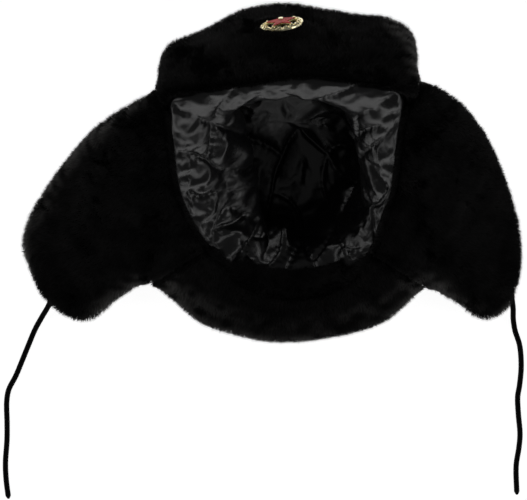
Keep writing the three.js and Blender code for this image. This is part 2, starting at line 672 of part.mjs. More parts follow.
// Room in the visor for the badge and its post
function badgePocket() {
  return rod(BADGE.pocket, BADGE.pocketTop, -GAP / 2, BADGE.sides).add(
    rod(BADGE.post + GAP, BADGE.postLength + 1, -BADGE.postLength - GAP, BADGE.postSides)
  );
}

function mesh(name, solid, finish) {
  const piece = new THREE.Mesh(geometryOf(solid), new THREE.MeshStandardMaterial(finish));
  piece.name = name;
  return piece;
}

const seat = makeSeat();
const onVisor = badgeFrame();
const hat = new THREE.Group();
hat.position.set(-FOOTPRINT_CENTRE.x, -FOOTPRINT_CENTRE.y, 0);

hat.add(mesh("crown", makeCrown(), blackFur));
hat.add(mesh("lining", makeLining(), blackSatin));
const pocket = solidOf(geometryOf(badgePocket()).applyMatrix4(onVisor));
hat.add(mesh("visor", makeVisor(0).subtract(seat).subtract(pocket), blackFur));

const neck = FLAPS.find(({ name }) => name === "neck_flap");
const sockets = TIES.map(({ route }) => tieSolid(route, TIE.radius + TIE.socketDepth, TIE.socketDepth));
for (const flap of FLAPS) {
  const rooms = [seat, makeVisor(GAP), ...sockets, ...(flap === neck ? [] : [makeFlap(neck, GAP)])];
  const solid = rooms.reduce((left, room) => left.subtract(room), makeFlap(flap, 0));
  hat.add(mesh(flap.name, solid, blackFur));
}
for (const tie of TIES) {
  hat.add(mesh(tie.name, tieSolid(tie.route, TIE.radius, 0), blackCord));
}

const badge = new THREE.Group();
badge.applyMatrix4(onVisor);
badge.add(mesh("badge", makeBadge(), gilt));
badge.add(mesh("badge_star", makeBadgeStar(), redEnamel));
hat.add(badge);

export default hat;
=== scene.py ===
"""Dresses a black fur ushanka that lies open side up: plush pile, quilted satin lining, ties and badge.

Metres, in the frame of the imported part: +X to the wearer's left, +Y to the visor, +Z up, floor at Z = 0.
"""

import logging
import math
from dataclasses import dataclass, field
from enum import Enum
from typing import Callable, Iterable

import bmesh
import bpy
import numpy as np
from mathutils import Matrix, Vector
from mathutils.bvhtree import BVHTree
from mathutils.kdtree import KDTree


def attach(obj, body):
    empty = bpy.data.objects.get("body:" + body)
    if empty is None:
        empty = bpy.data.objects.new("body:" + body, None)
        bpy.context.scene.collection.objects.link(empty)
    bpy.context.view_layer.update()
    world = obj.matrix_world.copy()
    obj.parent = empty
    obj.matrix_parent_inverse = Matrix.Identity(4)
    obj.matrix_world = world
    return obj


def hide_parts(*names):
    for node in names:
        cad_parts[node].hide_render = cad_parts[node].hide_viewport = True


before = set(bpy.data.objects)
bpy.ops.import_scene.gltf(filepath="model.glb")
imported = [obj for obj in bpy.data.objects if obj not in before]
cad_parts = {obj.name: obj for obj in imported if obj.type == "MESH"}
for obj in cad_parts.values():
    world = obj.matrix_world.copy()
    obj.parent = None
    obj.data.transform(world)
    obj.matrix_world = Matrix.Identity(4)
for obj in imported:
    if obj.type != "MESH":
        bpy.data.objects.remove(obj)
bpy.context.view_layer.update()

logging.basicConfig(level=logging.INFO, format="%(message)s")
log = logging.getLogger("ushanka")

MM = 0.001
BODY = "root"

# The photo was taken from straight above
CAMERA_PLACE = Vector((-7.25, -61.3, 1500.0)) * MM

# The hat's own frame: the rim plane is tilted about X, and its centre stands over the floor
TILT = math.radians(42)
FOOTPRINT_SHIFT = np.array([0.45, -1.3, 0.0]) * MM
RIM_CENTRE = np.array([10.2, -11.3, 111.0]) * MM + FOOTPRINT_SHIFT
FORWARD = np.array([0.0, math.cos(TILT), math.sin(TILT)])
INWARD = np.array([0.0, math.sin(TILT), -math.cos(TILT)])


class Slot(Enum):
    """Names of the record's material slots for fur, lining and cord; the badge keeps its own."""

    FUR = "fur"
    LINING = "lining"
    CORD = "cord"


class Node(Enum):
    """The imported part's nodes."""

    CROWN = "crown"
    LINING = "lining"
    VISOR = "visor"
    EAR_FLAP_RIGHT = "ear_flap_right"
    NECK_FLAP = "neck_flap"
    EAR_FLAP_LEFT = "ear_flap_left"
    TIE_CORD_RIGHT = "tie_cord_right"
    TIE_CORD_LEFT = "tie_cord_left"
    BADGE = "badge"
    BADGE_STAR = "badge_star"


def smoothstep(low: float, high: float, value: np.ndarray) -> np.ndarray:
    """Eased share of the way from low to high, for each value."""
    share = np.clip((value - low) / (high - low), 0.0, 1.0)
    return share * share * (3.0 - 2.0 * share)


def window(edges: tuple[float, float, float, float], value: np.ndarray) -> np.ndarray:
    """Rises from 0 to 1 over the first two edges, and falls back to 0 over the last two."""
    return smoothstep(edges[0], edges[1], value) * smoothstep(edges[3], edges[2], value)


def unit(vectors: np.ndarray) -> np.ndarray:
    """The vectors at length one."""
    return vectors / np.maximum(np.linalg.norm(vectors, axis=-1, keepdims=True), 1e-12)


def run_along(points: np.ndarray) -> np.ndarray:
    """Distance along a line of points, from its start to each of them."""
    return np.concatenate([[0.0], np.cumsum(np.linalg.norm(np.diff(points, axis=0), axis=1))])


def ripple(points: np.ndarray, wavelength: float, seed: int, channels: int = 1) -> np.ndarray:
    """Smooth random field of the given wavelength, from about -1 to 1.

    Args:
        points: Places, one row each, in metres.
        wavelength: Typical distance between two crests, in metres.
        seed: Picks the field.
        channels: How many independent values each place gets.

    Returns:
        One row for each place, one column for each channel.
    """
    rng = np.random.default_rng(seed)
    waves = 7
    total = np.zeros((len(points), channels))
    for channel in range(channels):
        directions = unit(rng.normal(size=(waves, points.shape[1])))
        stretches = rng.uniform(0.6, 1.5, waves)
        phases = rng.uniform(0.0, 2.0 * math.pi, waves)
        turns = points @ (directions * stretches[:, None]).T * (2.0 * math.pi / wavelength)
        total[:, channel] = np.sin(turns + phases).sum(axis=1) / math.sqrt(waves)
    return total


class EffectGroup:
    """A shader node group that several materials share, built once."""

    name: str
    inputs: dict[str, float]
    output: str

    def build(self) -> bpy.types.NodeTree:
        """Makes the group once and returns it."""
        found = bpy.data.node_groups.get(self.name)
        if found:
            return found
        tree = bpy.data.node_groups.new(self.name, "ShaderNodeTree")
        for name, value in self.inputs.items():
            socket = tree.interface.new_socket(name, in_out="INPUT", socket_type="NodeSocketFloat")
            socket.default_value = value
        tree.interface.new_socket(self.output, in_out="OUTPUT", socket_type="NodeSocketFloat")
        given, put = tree.nodes.new("NodeGroupInput"), tree.nodes.new("NodeGroupOutput")
        tree.links.new(self.wire(tree, given), put.inputs[self.output])
        return tree

    def wire(self, tree: bpy.types.NodeTree, given: bpy.types.Node) -> bpy.types.NodeSocket:
        """Adds the group's own nodes.

        Args:
            tree: The group's tree.
            given: Its input node.

        Returns:
            The socket that the group puts out.
        """
        raise NotImplementedError

    @staticmethod
    def reckon(
        tree: bpy.types.NodeTree, operation: str, *terms: float | bpy.types.NodeSocket
    ) -> bpy.types.Node:
        """Adds a Math node.

        Args:
            tree: The group's tree.
            operation: What it works out.
            *terms: Its inputs, each a number or an output socket.

        Returns:
            The node.
        """
        node = tree.nodes.new("ShaderNodeMath")
        node.operation = operation
        for socket, term in zip(node.inputs, terms):
            if isinstance(term, bpy.types.NodeSocket):
                tree.links.new(term, socket)
            else:
                socket.default_value = term
        return node


class Patches(EffectGroup):
    """Soft patches that vary a finish over the surface, as a mask."""

    name = "soft_patches"
    inputs = {"Scale": 60.0, "Contrast": 0.5}
    output = "Mask"

    def wire(self, tree: bpy.types.NodeTree, given: bpy.types.Node) -> bpy.types.NodeSocket:
        """Stretches noise about its middle grey, and returns the mask."""
        place = tree.nodes.new("ShaderNodeTexCoord")
        noise = tree.nodes.new("ShaderNodeTexNoise")
        noise.inputs["Detail"].default_value = 3.0
        noise.inputs["Roughness"].default_value = 0.55
        tree.links.new(place.outputs["Object"], noise.inputs["Vector"])
        tree.links.new(given.outputs["Scale"], noise.inputs["Scale"])
        centred = self.reckon(tree, "SUBTRACT", noise.outputs["Fac"], 0.5)
        stretched = self.reckon(tree, "MULTIPLY_ADD", centred.outputs[0], given.outputs["Contrast"], 0.5)
        stretched.use_clamp = True
        return stretched.outputs[0]


class Threads(EffectGroup):
    """Crossed threads along a UV map, as a height."""

    name = "crossed_threads"
    inputs = {"Threads across": 200.0, "Threads along": 200.0}
    output = "Height"

    def wire(self, tree: bpy.types.NodeTree, given: bpy.types.Node) -> bpy.types.NodeSocket:
        """Crosses a wave along U with one along V, and returns their product."""
        place = tree.nodes.new("ShaderNodeTexCoord")
        split = tree.nodes.new("ShaderNodeSeparateXYZ")
        tree.links.new(place.outputs["UV"], split.inputs[0])
        ridges = []
        for axis, socket in zip("XY", self.inputs):
            turn = self.reckon(tree, "MULTIPLY", split.outputs[axis], given.outputs[socket])
            ridges.append(self.reckon(tree, "SINE", turn.outputs[0]).outputs[0])
        return self.reckon(tree, "MULTIPLY", *ridges).outputs[0]


class Shader:
    """A material's node tree while it is wired up."""

    def __init__(self, name: str, **numbers: float) -> None:
        """Starts a material that holds one Principled shader.

        Args:
            name: The material's name.
            **numbers: Plain numbers for the shader's own sockets, with _ for a space in their names.
        """
        self.material = bpy.data.materials.new(name)
        self.material.use_nodes = True
        self.nodes = self.material.node_tree.nodes
        self.links = self.material.node_tree.links
        self.surface = self.nodes["Principled BSDF"]
        for socket, value in numbers.items():
            self.surface.inputs[socket.replace("_", " ")].default_value = value

    def effect(self, group: EffectGroup, **numbers: float) -> bpy.types.NodeSocket:
        """Places a shared group in the material with its own numbers.

        Args:
            group: The group.
            **numbers: Input values, with _ for a space in their names.

        Returns:
            What the group puts out.
        """
        node = self.nodes.new("ShaderNodeGroup")
        node.node_tree = group.build()
        for name, value in numbers.items():
            node.inputs[name.replace("_", " ")].default_value = value
        return node.outputs[group.output]

    def blend(
        self, factor: bpy.types.NodeSocket, *ends: tuple | bpy.types.NodeSocket
    ) -> bpy.types.NodeSocket:
        """A colour between two, chosen by a factor.

        Args:
            factor: Output socket that gives 0 to 1.
            *ends: The colours at 0 and at 1, each as numbers or as an output socket.

        Returns:
            The colour's output socket.
        """
        mix = self.nodes.new("ShaderNodeMix")
        mix.data_type = "RGBA"
        for socket, end in zip((socket for socket in mix.inputs if socket.type == "RGBA"), ends):
            if isinstance(end, tuple):
                socket.default_value = (*end, 1.0)
            else:
                self.links.new(end, socket)
        self.links.new(factor, mix.inputs["Factor"])
        return next(socket for socket in mix.outputs if socket.type == "RGBA")

    def colour(self, socket: bpy.types.NodeSocket) -> None:
        """Gives the surface its colour."""
        self.links.new(socket, self.surface.inputs["Base Color"])

    def roughen(self, factor: bpy.types.NodeSocket, span: tuple[float, float]) -> None:
        """Varies the roughness over a span by a factor.

        Args:
            factor: Output socket that gives 0 to 1.
            span: Roughness at 0 and at 1.
        """
        node = self.nodes.new("ShaderNodeMapRange")
        node.inputs["To Min"].default_value, node.inputs["To Max"].default_value = span
        self.links.new(factor, node.inputs["Value"])
        self.links.new(node.outputs["Result"], self.surface.inputs["Roughness"])

    def bump(self, height: bpy.types.NodeSocket, distance: float, strength: float) -> None:
        """Adds relief from a height to the shader's normal, over any relief that it has.

        Args:
            height: Output socket of the height.
            distance: Depth of the relief in metres.
            strength: Share of the relief that shows.
        """
        node = self.nodes.new("ShaderNodeBump")
        node.inputs["Distance"].default_value = distance
        node.inputs["Strength"].default_value = strength
        under = self.surface.inputs["Normal"]
        if under.is_linked:
            self.links.new(under.links[0].from_socket, node.inputs["Normal"])
        self.links.new(height, node.inputs["Height"])
        self.links.new(node.outputs["Normal"], under)


@dataclass(frozen=True)
class Finish:
    """A finish whose colour and roughness vary together in soft patches.

    Its low and high are the colours at the two ends of the patches, rough is the roughness there, scale says
    how many patches a metre has, and contrast how sharply they part.
    """

    low: tuple
    high: tuple
    rough: tuple
    scale: float
    contrast: float

    def start(self, name: str, **numbers: float) -> tuple[Shader, bpy.types.NodeSocket]:
        """Starts the material with its patches.

        Args:
            name: The material's name.
            **numbers: Plain numbers for the shader's own sockets.

        Returns:
            The shader, and the patches' mask.
        """
        shader = Shader(name, **numbers)
        mask = shader.effect(Patches(), Scale=self.scale, Contrast=self.contrast)
        shader.colour(shader.blend(mask, self.low, self.high))
        shader.roughen(mask, self.rough)
        return shader, mask


@dataclass(frozen=True)
class BackingFinish:
    """Black knitted backing and under-wool between the hairs."""

    low: tuple = (0.0006, 0.0006, 0.0007)
    high: tuple = (0.0015, 0.0015, 0.0017)
    rough: tuple = (0.8, 1.0)
    patch_scale: float = 90.0
    wool_scale: float = 900.0
    wool_depth: float = 1.2 * MM

    def make(self) -> bpy.types.Material:
        """Returns the finished material."""
        shader = Shader("black_under_wool", Specular_IOR_Level=0.05)
        patches = shader.effect(Patches(), Scale=self.patch_scale, Contrast=2.0)
        wool = shader.effect(Patches(), Scale=self.wool_scale, Contrast=1.5)
        shader.colour(shader.blend(patches, self.low, self.high))
        shader.roughen(wool, self.rough)
        shader.bump(wool, self.wool_depth, 0.8)
        return shader.material


@dataclass(frozen=True)
class PileFinish:
    """Glossy black hairs, paler toward their tips, and palest where a painted rim highlight stands for light
    catching the fur's edges.
    """

    root: tuple = (0.0004, 0.0004, 0.0004)
    tip: tuple = (0.0085, 0.0085, 0.0088)
    pale_tip: tuple = (0.034, 0.033, 0.033)
    # Painted rim highlight: a pale tip colour that stands for light catching edge-on fuzz
    rim_highlight_tip: tuple = (0.24, 0.233, 0.226)
    rough: tuple = (0.45, 0.7)
    patch_scale: float = 45.0

    def make(self) -> bpy.types.Material:
        """Returns the finished material."""
        shader = Shader("black_pile", Specular_IOR_Level=0.02, Sheen_Weight=0.02, Sheen_Roughness=0.3)
        hair = shader.nodes.new("ShaderNodeAttribute")
        hair.attribute_name = "hair"
        parts = shader.nodes.new("ShaderNodeSeparateXYZ")
        shader.links.new(hair.outputs["Vector"], parts.inputs[0])
        along, shade, rim_lit = (parts.outputs[axis] for axis in "XYZ")
        patches = shader.effect(Patches(), Scale=self.patch_scale, Contrast=2.2)
        # Painted rim highlight: the tips turn pale toward this colour where the hair's rim share is high
        tips = shader.blend(rim_lit, shader.blend(patches, self.tip, self.pale_tip), self.rim_highlight_tip)
        shader.colour(shader.blend(along, self.root, tips))
        shader.roughen(shade, self.rough)
        return shader.material


@dataclass(frozen=True)
class SatinFinish(Finish):
    """Black satin with a fine crossed weave and a soft gloss."""

    low: tuple = (0.0028, 0.0028, 0.0031)
    high: tuple = (0.0052, 0.0052, 0.0058)
    rough: tuple = (0.24, 0.34)
    scale: float = 35.0
    contrast: float = 1.6
    crease_scale: float = 260.0
    crease_depth: float = 0.4 * MM
    threads: float = 9000.0
    thread_depth: float = 0.04 * MM

    def make(self) -> bpy.types.Material:
        """Returns the finished material."""
        shader, _ = self.start("black_satin", Specular_IOR_Level=0.5, Sheen_Weight=0.02, Sheen_Roughness=0.4)
        shader.bump(shader.effect(Patches(), Scale=self.crease_scale, Contrast=1.2), self.crease_depth, 0.35)
        weave = shader.effect(Threads(), Threads_across=self.threads, Threads_along=self.threads)
        shader.bump(weave, self.thread_depth, 0.3)
        return shader.material


@dataclass(frozen=True)
class CordFinish(Finish):
    """Matt black braided cord."""

    low: tuple = (0.0008, 0.0008, 0.0008)
    high: tuple = (0.0030, 0.0030, 0.0030)
    rough: tuple = (0.6, 0.85)
    scale: float = 1200.0
    contrast: float = 1.8
    across: float = 80.0
    along: float = 7000.0
    thread_depth: float = 0.1 * MM
    fuzz_depth: float = 0.2 * MM

    def make(self) -> bpy.types.Material:
        """Returns the finished material."""
        shader, fuzz = self.start("black_braid", Specular_IOR_Level=0.08, Sheen_Weight=0.01)
        braid = shader.effect(Threads(), Threads_across=self.across, Threads_along=self.along)
        shader.bump(braid, self.thread_depth, 0.5)
        shader.bump(fuzz, self.fuzz_depth, 0.6)
        return shader.material


@dataclass(frozen=True)
class GiltFinish(Finish):
    """Bright gilt metal, a little duller and browner in patches."""

    low: tuple = (0.93, 0.80, 0.44)
    high: tuple = (1.0, 0.95, 0.68)
    rough: tuple = (0.3, 0.16)
    scale: float = 420.0
    contrast: float = 2.4
    grain_scale: float = 2400.0
    grain_depth: float = 0.08 * MM

    def make(self) -> bpy.types.Material:
        """Returns the finished material."""
        shader, _ = self.start("gilt_metal", Metallic=1.0)
        shader.bump(shader.effect(Patches(), Scale=self.grain_scale, Contrast=1.0), self.grain_depth, 0.4)
        return shader.material


@dataclass(frozen=True)
class EnamelFinish(Finish):
    """Deep red glossy enamel over stamped metal."""

    low: tuple = (0.55, 0.012, 0.010)
    high: tuple = (0.85, 0.06, 0.05)
    rough: tuple = (0.14, 0.24)
    scale: float = 350.0
    contrast: float = 2.0

    def make(self) -> bpy.types.Material:
        """Returns the finished material."""
        shader, _ = self.start("red_enamel", Coat_Weight=0.35, Coat_Roughness=0.05, Specular_IOR_Level=0.35)
        return shader.material


@dataclass(frozen=True)
class FloorFinish(Finish):
    """White paper sweep, lit a little from below as a light table is."""

    low: tuple = (0.60, 0.60, 0.60)
    high: tuple = (0.63, 0.63, 0.63)
    rough: tuple = (0.85, 0.95)
    scale: float = 3.0
    contrast: float = 1.0
    glow: float = 0.93

    def make(self) -> bpy.types.Material:
        """Returns the finished material."""
        white = (1.0, 1.0, 1.0, 1.0)
        shader, _ = self.start("white_paper", Emission_Strength=self.glow, Emission_Color=white)
        return shader.material


@dataclass
class AreaLamp:
    """One soft box, aimed at the hat."""

    name: str
    place: tuple
    size: float
    power: float


@dataclass
class Studio:
    """Camera straight above the hat, soft boxes and a white floor."""

    sensor: float = 36.0
    width_on_floor: float = 0.4532
    floor_side: float = 8.0
    floor_drop: float = 0.05 * MM
    world_strength: float = 0.11
    lamps: tuple = (
        AreaLamp("right_box", (2.35, -0.3, 1.3), 1.2, 6.8),
        AreaLamp("left_box", (-2.4, -0.1, 1.0), 1.6, 8.5),
        AreaLamp("near_box", (0.2, -2.6, 0.42), 0.76, 2.4),
        AreaLamp("far_box", (-0.3, 2.6, 0.7), 1.4, 2.5),
    )
    target: Vector = field(default_factory=lambda: Vector((0.0, 0.0, 0.08)))

    def add_camera(self) -> None:
        """Adds the camera and makes it the scene's."""
        data = bpy.data.cameras.new("camera")
        data.sensor_width = self.sensor
        data.lens = self.sensor * CAMERA_PLACE.z / self.width_on_floor
        camera = bpy.data.objects.new("camera", data)
        camera.location = CAMERA_PLACE
        bpy.context.scene.collection.objects.link(camera)
        bpy.context.scene.camera = camera

    def add_lamps(self) -> None:
        """Adds the soft boxes and an even pale surround."""
        for lamp in self.lamps:
            data = bpy.data.lights.new(lamp.name, "AREA")
            data.shape = "DISK"
            data.size = lamp.size
            data.energy = lamp.power
            box = bpy.data.objects.new(lamp.name, data)
            box.location = lamp.place
            aim = self.target - box.location
            box.rotation_euler = aim.to_track_quat("-Z", "Y").to_euler()
            bpy.context.scene.collection.objects.link(box)
        world = bpy.data.worlds.new("pale_surround")
        world.use_nodes = True
        sky = world.node_tree.nodes["Background"]
        sky.inputs["Color"].default_value = (1.0, 1.0, 1.0, 1.0)
        sky.inputs["Strength"].default_value = self.world_strength
        bpy.context.scene.world = world

    def add_floor(self) -> None:
        """Adds the floor, a hair's breadth under the hat."""
        model = bmesh.new()
        bmesh.ops.create_grid(model, x_segments=4, y_segments=4, size=self.floor_side / 2)
        bmesh.ops.translate(model, verts=model.verts, vec=(0.0, 0.0, -self.floor_drop))
        mesh = mesh_from(model, "floor")
        mesh.materials.append(FloorFinish().make())
        floor = bpy.data.objects.new("floor", mesh)
        bpy.context.scene.collection.objects.link(floor)

    def set_colours(self) -> None:
        """Shows colours as they are, so that white paper is white."""
        view = bpy.context.scene.view_settings
        view.view_transform = "Standard"
        view.look = "None"
        view.exposure = 0.0
        view.gamma = 1.0


def link_piece(name: str, mesh: bpy.types.Mesh, finish: bpy.types.Material) -> bpy.types.Object:
    """Puts a mesh in the scene as a piece that rides on the hat.

    Args:
        name: The piece's name.
        mesh: Its mesh, in place.
        finish: Its material.

    Returns:
        The piece.
    """
    mesh.name = name
    mesh.materials.append(finish)
    piece = bpy.data.objects.new(name, mesh)
    bpy.context.scene.collection.objects.link(piece)
    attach(piece, BODY)
    return piece


def merged_copy(node: Node) -> bmesh.types.BMesh:
    """A node's solid with its shared points merged."""
    model = bmesh.new()
    model.from_mesh(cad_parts[node.value].data)
    bmesh.ops.remove_doubles(model, verts=model.verts, dist=1e-6)
    return model


def mesh_from(model: bmesh.types.BMesh, name: str) -> bpy.types.Mesh:
    """Turns an edited model, used up here, into a mesh of the given name."""
    mesh = bpy.data.meshes.new(name)
    model.to_mesh(mesh)
    model.free()
    return mesh


def baked(mesh: bpy.types.Mesh, modify: Callable[[bpy.types.Object], None]) -> bpy.types.Mesh:
    """The mesh after modifiers, as plain faces.

    Args:
        mesh: The mesh to start from, used up here.
        modify: Adds modifiers to an object that holds the mesh.

    Returns:
        A new mesh.
    """
    holder = bpy.data.objects.new("holder", mesh)
    bpy.context.scene.collection.objects.link(holder)
    modify(holder)
    result = as_plain(holder)
    bpy.data.meshes.remove(mesh)
    return result


def as_plain(holder: bpy.types.Object) -> bpy.types.Mesh:
    """The object's mesh with its modifiers applied; the object itself goes."""
    graph = bpy.context.evaluated_depsgraph_get()
    graph.update()
    result = bpy.data.meshes.new_from_object(holder.evaluated_get(graph), depsgraph=graph)
    bpy.data.objects.remove(holder)
    return result


def refine(holder: bpy.types.Object, levels: int = 2) -> None:
    """Rounds the object's facets by so many levels."""
    rounding = holder.modifiers.new("rounding", "SUBSURF")
    rounding.levels = rounding.render_levels = levels


def store(mesh: bpy.types.Mesh, name: str, values: np.ndarray) -> None:
    """Stores a number or a vector for each point of the mesh under a name."""
    kind, part = ("FLOAT", "value") if values.ndim == 1 else ("FLOAT_VECTOR", "vector")
    mesh.attributes.new(name, kind, "POINT").data.foreach_set(part, values.astype(np.float32).ravel())


def stored(mesh: bpy.types.Mesh, name: str) -> np.ndarray:
    """What the mesh holds for each of its points under a name."""
    layer = mesh.attributes[name]
    if layer.data_type == "FLOAT":
        values = np.empty(len(mesh.vertices), np.float32)
        layer.data.foreach_get("value", values)
        return values
    flat = np.empty(len(mesh.vertices) * 3, np.float32)
    layer.data.foreach_get("vector", flat)
    return flat.reshape(-1, 3).astype(float)


def coordinates(mesh: bpy.types.Mesh) -> np.ndarray:
    """The mesh's points, one row each."""
    flat = np.empty(len(mesh.vertices) * 3)
    mesh.vertices.foreach_get("co", flat)
    return flat.reshape(-1, 3)


def point_normals(mesh: bpy.types.Mesh) -> np.ndarray:
    """The outward normal at each of the mesh's points."""
    flat = np.empty(len(mesh.vertices) * 3)
    mesh.vertex_normals.foreach_get("vector", flat)
    return flat.reshape(-1, 3)


def put_coordinates(mesh: bpy.types.Mesh, points: np.ndarray) -> None:
    """Moves the mesh's points to the given places."""
    mesh.vertices.foreach_set("co", points.astype(np.float32).ravel())
    mesh.update()


def corner_triples(mesh: bpy.types.Mesh) -> np.ndarray:
    """The mesh as triangles: three point numbers in each row."""
    mesh.calc_loop_triangles()
    flat = np.empty(len(mesh.loop_triangles) * 3, dtype=np.int32)
    mesh.loop_triangles.foreach_get("vertices", flat)
    return flat.reshape(-1, 3)


def solid_tree(nodes: Iterable[Node]) -> BVHTree:
    """Search tree over the solids of the given nodes."""
    points, faces = [], []
    for node in nodes:
        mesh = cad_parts[node.value].data
        start = len(points)
        points.extend(vertex.co.copy() for vertex in mesh.vertices)
        faces.extend([start + index for index in polygon.vertices] for polygon in mesh.polygons)
    return BVHTree.FromPolygons(points, faces)


def neighbours_tree(skip: Node) -> BVHTree:
    """Search tree over every solid of the hat but the ties and the given one."""
    return solid_tree(node for node in Node if node not in (skip, Node.TIE_CORD_LEFT, Node.TIE_CORD_RIGHT))


def gaps_to(tree: BVHTree, points: np.ndarray, reach: float) -> np.ndarray:
    """Distance from each point to the tree's nearest face, at most reach."""
    found = np.full(len(points), reach)
    for index, point in enumerate(points):
        distance = tree.find_nearest(Vector(point), reach)[3]
        if distance is not None:
            found[index] = distance
    return found


# Edges where the fur gets a painted rim highlight, a paler fuzz that stands for light catching hairs seen
# edge-on: routes seen from above, X and Y in millimetres
RIM_LIT_EDGES = (
    ((-109, 54), (-151, 30), (-178, 2), (-196, -28), (-208, -53), (-211, -75)),
    ((-150, -114), (-136, -107), (-122, -98), (-113, -91)),
    ((-84, -94), (-52, -112), (-20, -124), (25, -127), (65, -118), (100, -103), (124, -89)),
    ((134, -88), (150, -105), (170, -114), (192, -112)),
    ((101, 117), (113, 100), (112, 76)),
)

# Corners of the blade that stands for a guard hair, and for a hair of the wool
GUARD_CORNERS = 5
WOOL_CORNERS = 3
GUARD_FACES = np.array([[0, 1, 3], [0, 3, 2], [2, 3, 4]])


def on_corners(values: np.ndarray, guards: np.ndarray) -> np.ndarray:
    """Repeats each hair's value on its blade's corners, the guard hairs first."""
    kinds = ((guards, GUARD_CORNERS), (~guards, WOOL_CORNERS))
    return np.concatenate([np.repeat(values[kind], corners, axis=0) for kind, corners in kinds])


@dataclass(frozen=True)
class RimHighlight:
    """Where the fur gets a painted rim highlight along its edges: in full near a route, and not at all from
    its reach.
    """

    routes: tuple = RIM_LIT_EDGES
    full: float = 3 * MM
    reach: float = 17 * MM
    patch: float = 16 * MM
    seed: int = 91
    least: float = 0.35

    def share(self, roots: np.ndarray, normals: np.ndarray) -> np.ndarray:
        """How far each hair takes the painted rim highlight, from 0 to 1.

        Args:
            roots: Where the hairs stand.
            normals: The backing's normals there; what faces straight up gets no painted highlight.

        Returns:
            One share for each hair.
        """
        nearest = np.full(len(roots), np.inf)
        for route in self.routes:
            knots = np.array(route, float) * MM
            for start, end in zip(knots[:-1], knots[1:]):
                span = end - start
                share = np.clip((roots[:, :2] - start) @ span / (span @ span), 0.0, 1.0)
                gap = np.linalg.norm(roots[:, :2] - start - share[:, None] * span, axis=1)
                nearest = np.minimum(nearest, gap)
        # Painted rim highlight: strongest near the routes, in patches, and only where the backing turns away
        # from straight up
        patches = smoothstep(-1.2, 0.9, ripple(roots, self.patch, self.seed)[:, 0])
        steep = smoothstep(1.0, 0.55, normals[:, 2])
        return smoothstep(self.reach, self.full, nearest) * steep * patches


@dataclass
class Pile:
    """How a piece's hairs grow: a dense coat of wool and some longer guard hairs.

    A hair leans less than its lean up to its bend and more beyond it, by the curl. The sway turns its lie
    over long waves and the stray over short ones. A tuft's hairs are pulled toward its middle, at its height.
    The gloss lean turns the normal that a blade is lit by toward the blade's own.
    """

    wool: int
    guards: int
    seed: int
    length: float = 6.4 * MM
    length_spread: float = 0.09
    length_span: tuple = (0.7, 1.25)
    guard_length: float = 7.4 * MM
    width: float = 0.46 * MM
    width_span: tuple = (0.7, 1.3)
    waist: float = 0.85
    bend: float = 0.55
    lean: float = math.radians(26)
    lean_spread: float = math.radians(9)
    curl: float = 0.4
    scatter: float = 0.15
    turn_spread: float = 0.7
    sway: float = math.radians(30)
    sway_wavelength: float = 42 * MM
    stray: float = 0.35
    stray_wavelength: float = 12 * MM
    tuft: float = 3.6 * MM
    tuft_pull: float = 0.16
    tuft_height: float = 0.8
    gloss_lean: float = 0.5
    gloss_spread: float = 0.12
    lowest: tuple = (0.1 * MM, 0.9 * MM)
    clearance: float = 6 * MM
    under_share: float = 0.4


@dataclass
class Blades:
    """A pile's hairs as narrow blades, with a row for each.

    The rows hold the root, the bend and the tip, half of the blade's width as a vector, and the normal that
    the blade is lit by.
    """

    roots: np.ndarray
    bends: np.ndarray
    tips: np.ndarray
    halves: np.ndarray
    glow: np.ndarray

    def corners(self, guards: np.ndarray, waist: float) -> tuple[np.ndarray, np.ndarray]:
        """The blades' corners.

        Args:
            guards: Which of the hairs are guard hairs, that show their bend.
            waist: Share of the width that is left at the bend.

        Returns:
            Five corners for each guard hair, and three for each hair of the wool.
        """
        ends = [self.roots - self.halves, self.roots + self.halves]
        waists = [self.bends - self.halves * waist, self.bends + self.halves * waist]
        bent = np.stack([*ends, *waists, self.tips], axis=1)[guards]
        straight = np.stack([*ends, self.tips], axis=1)[~guards]
        return bent, straight


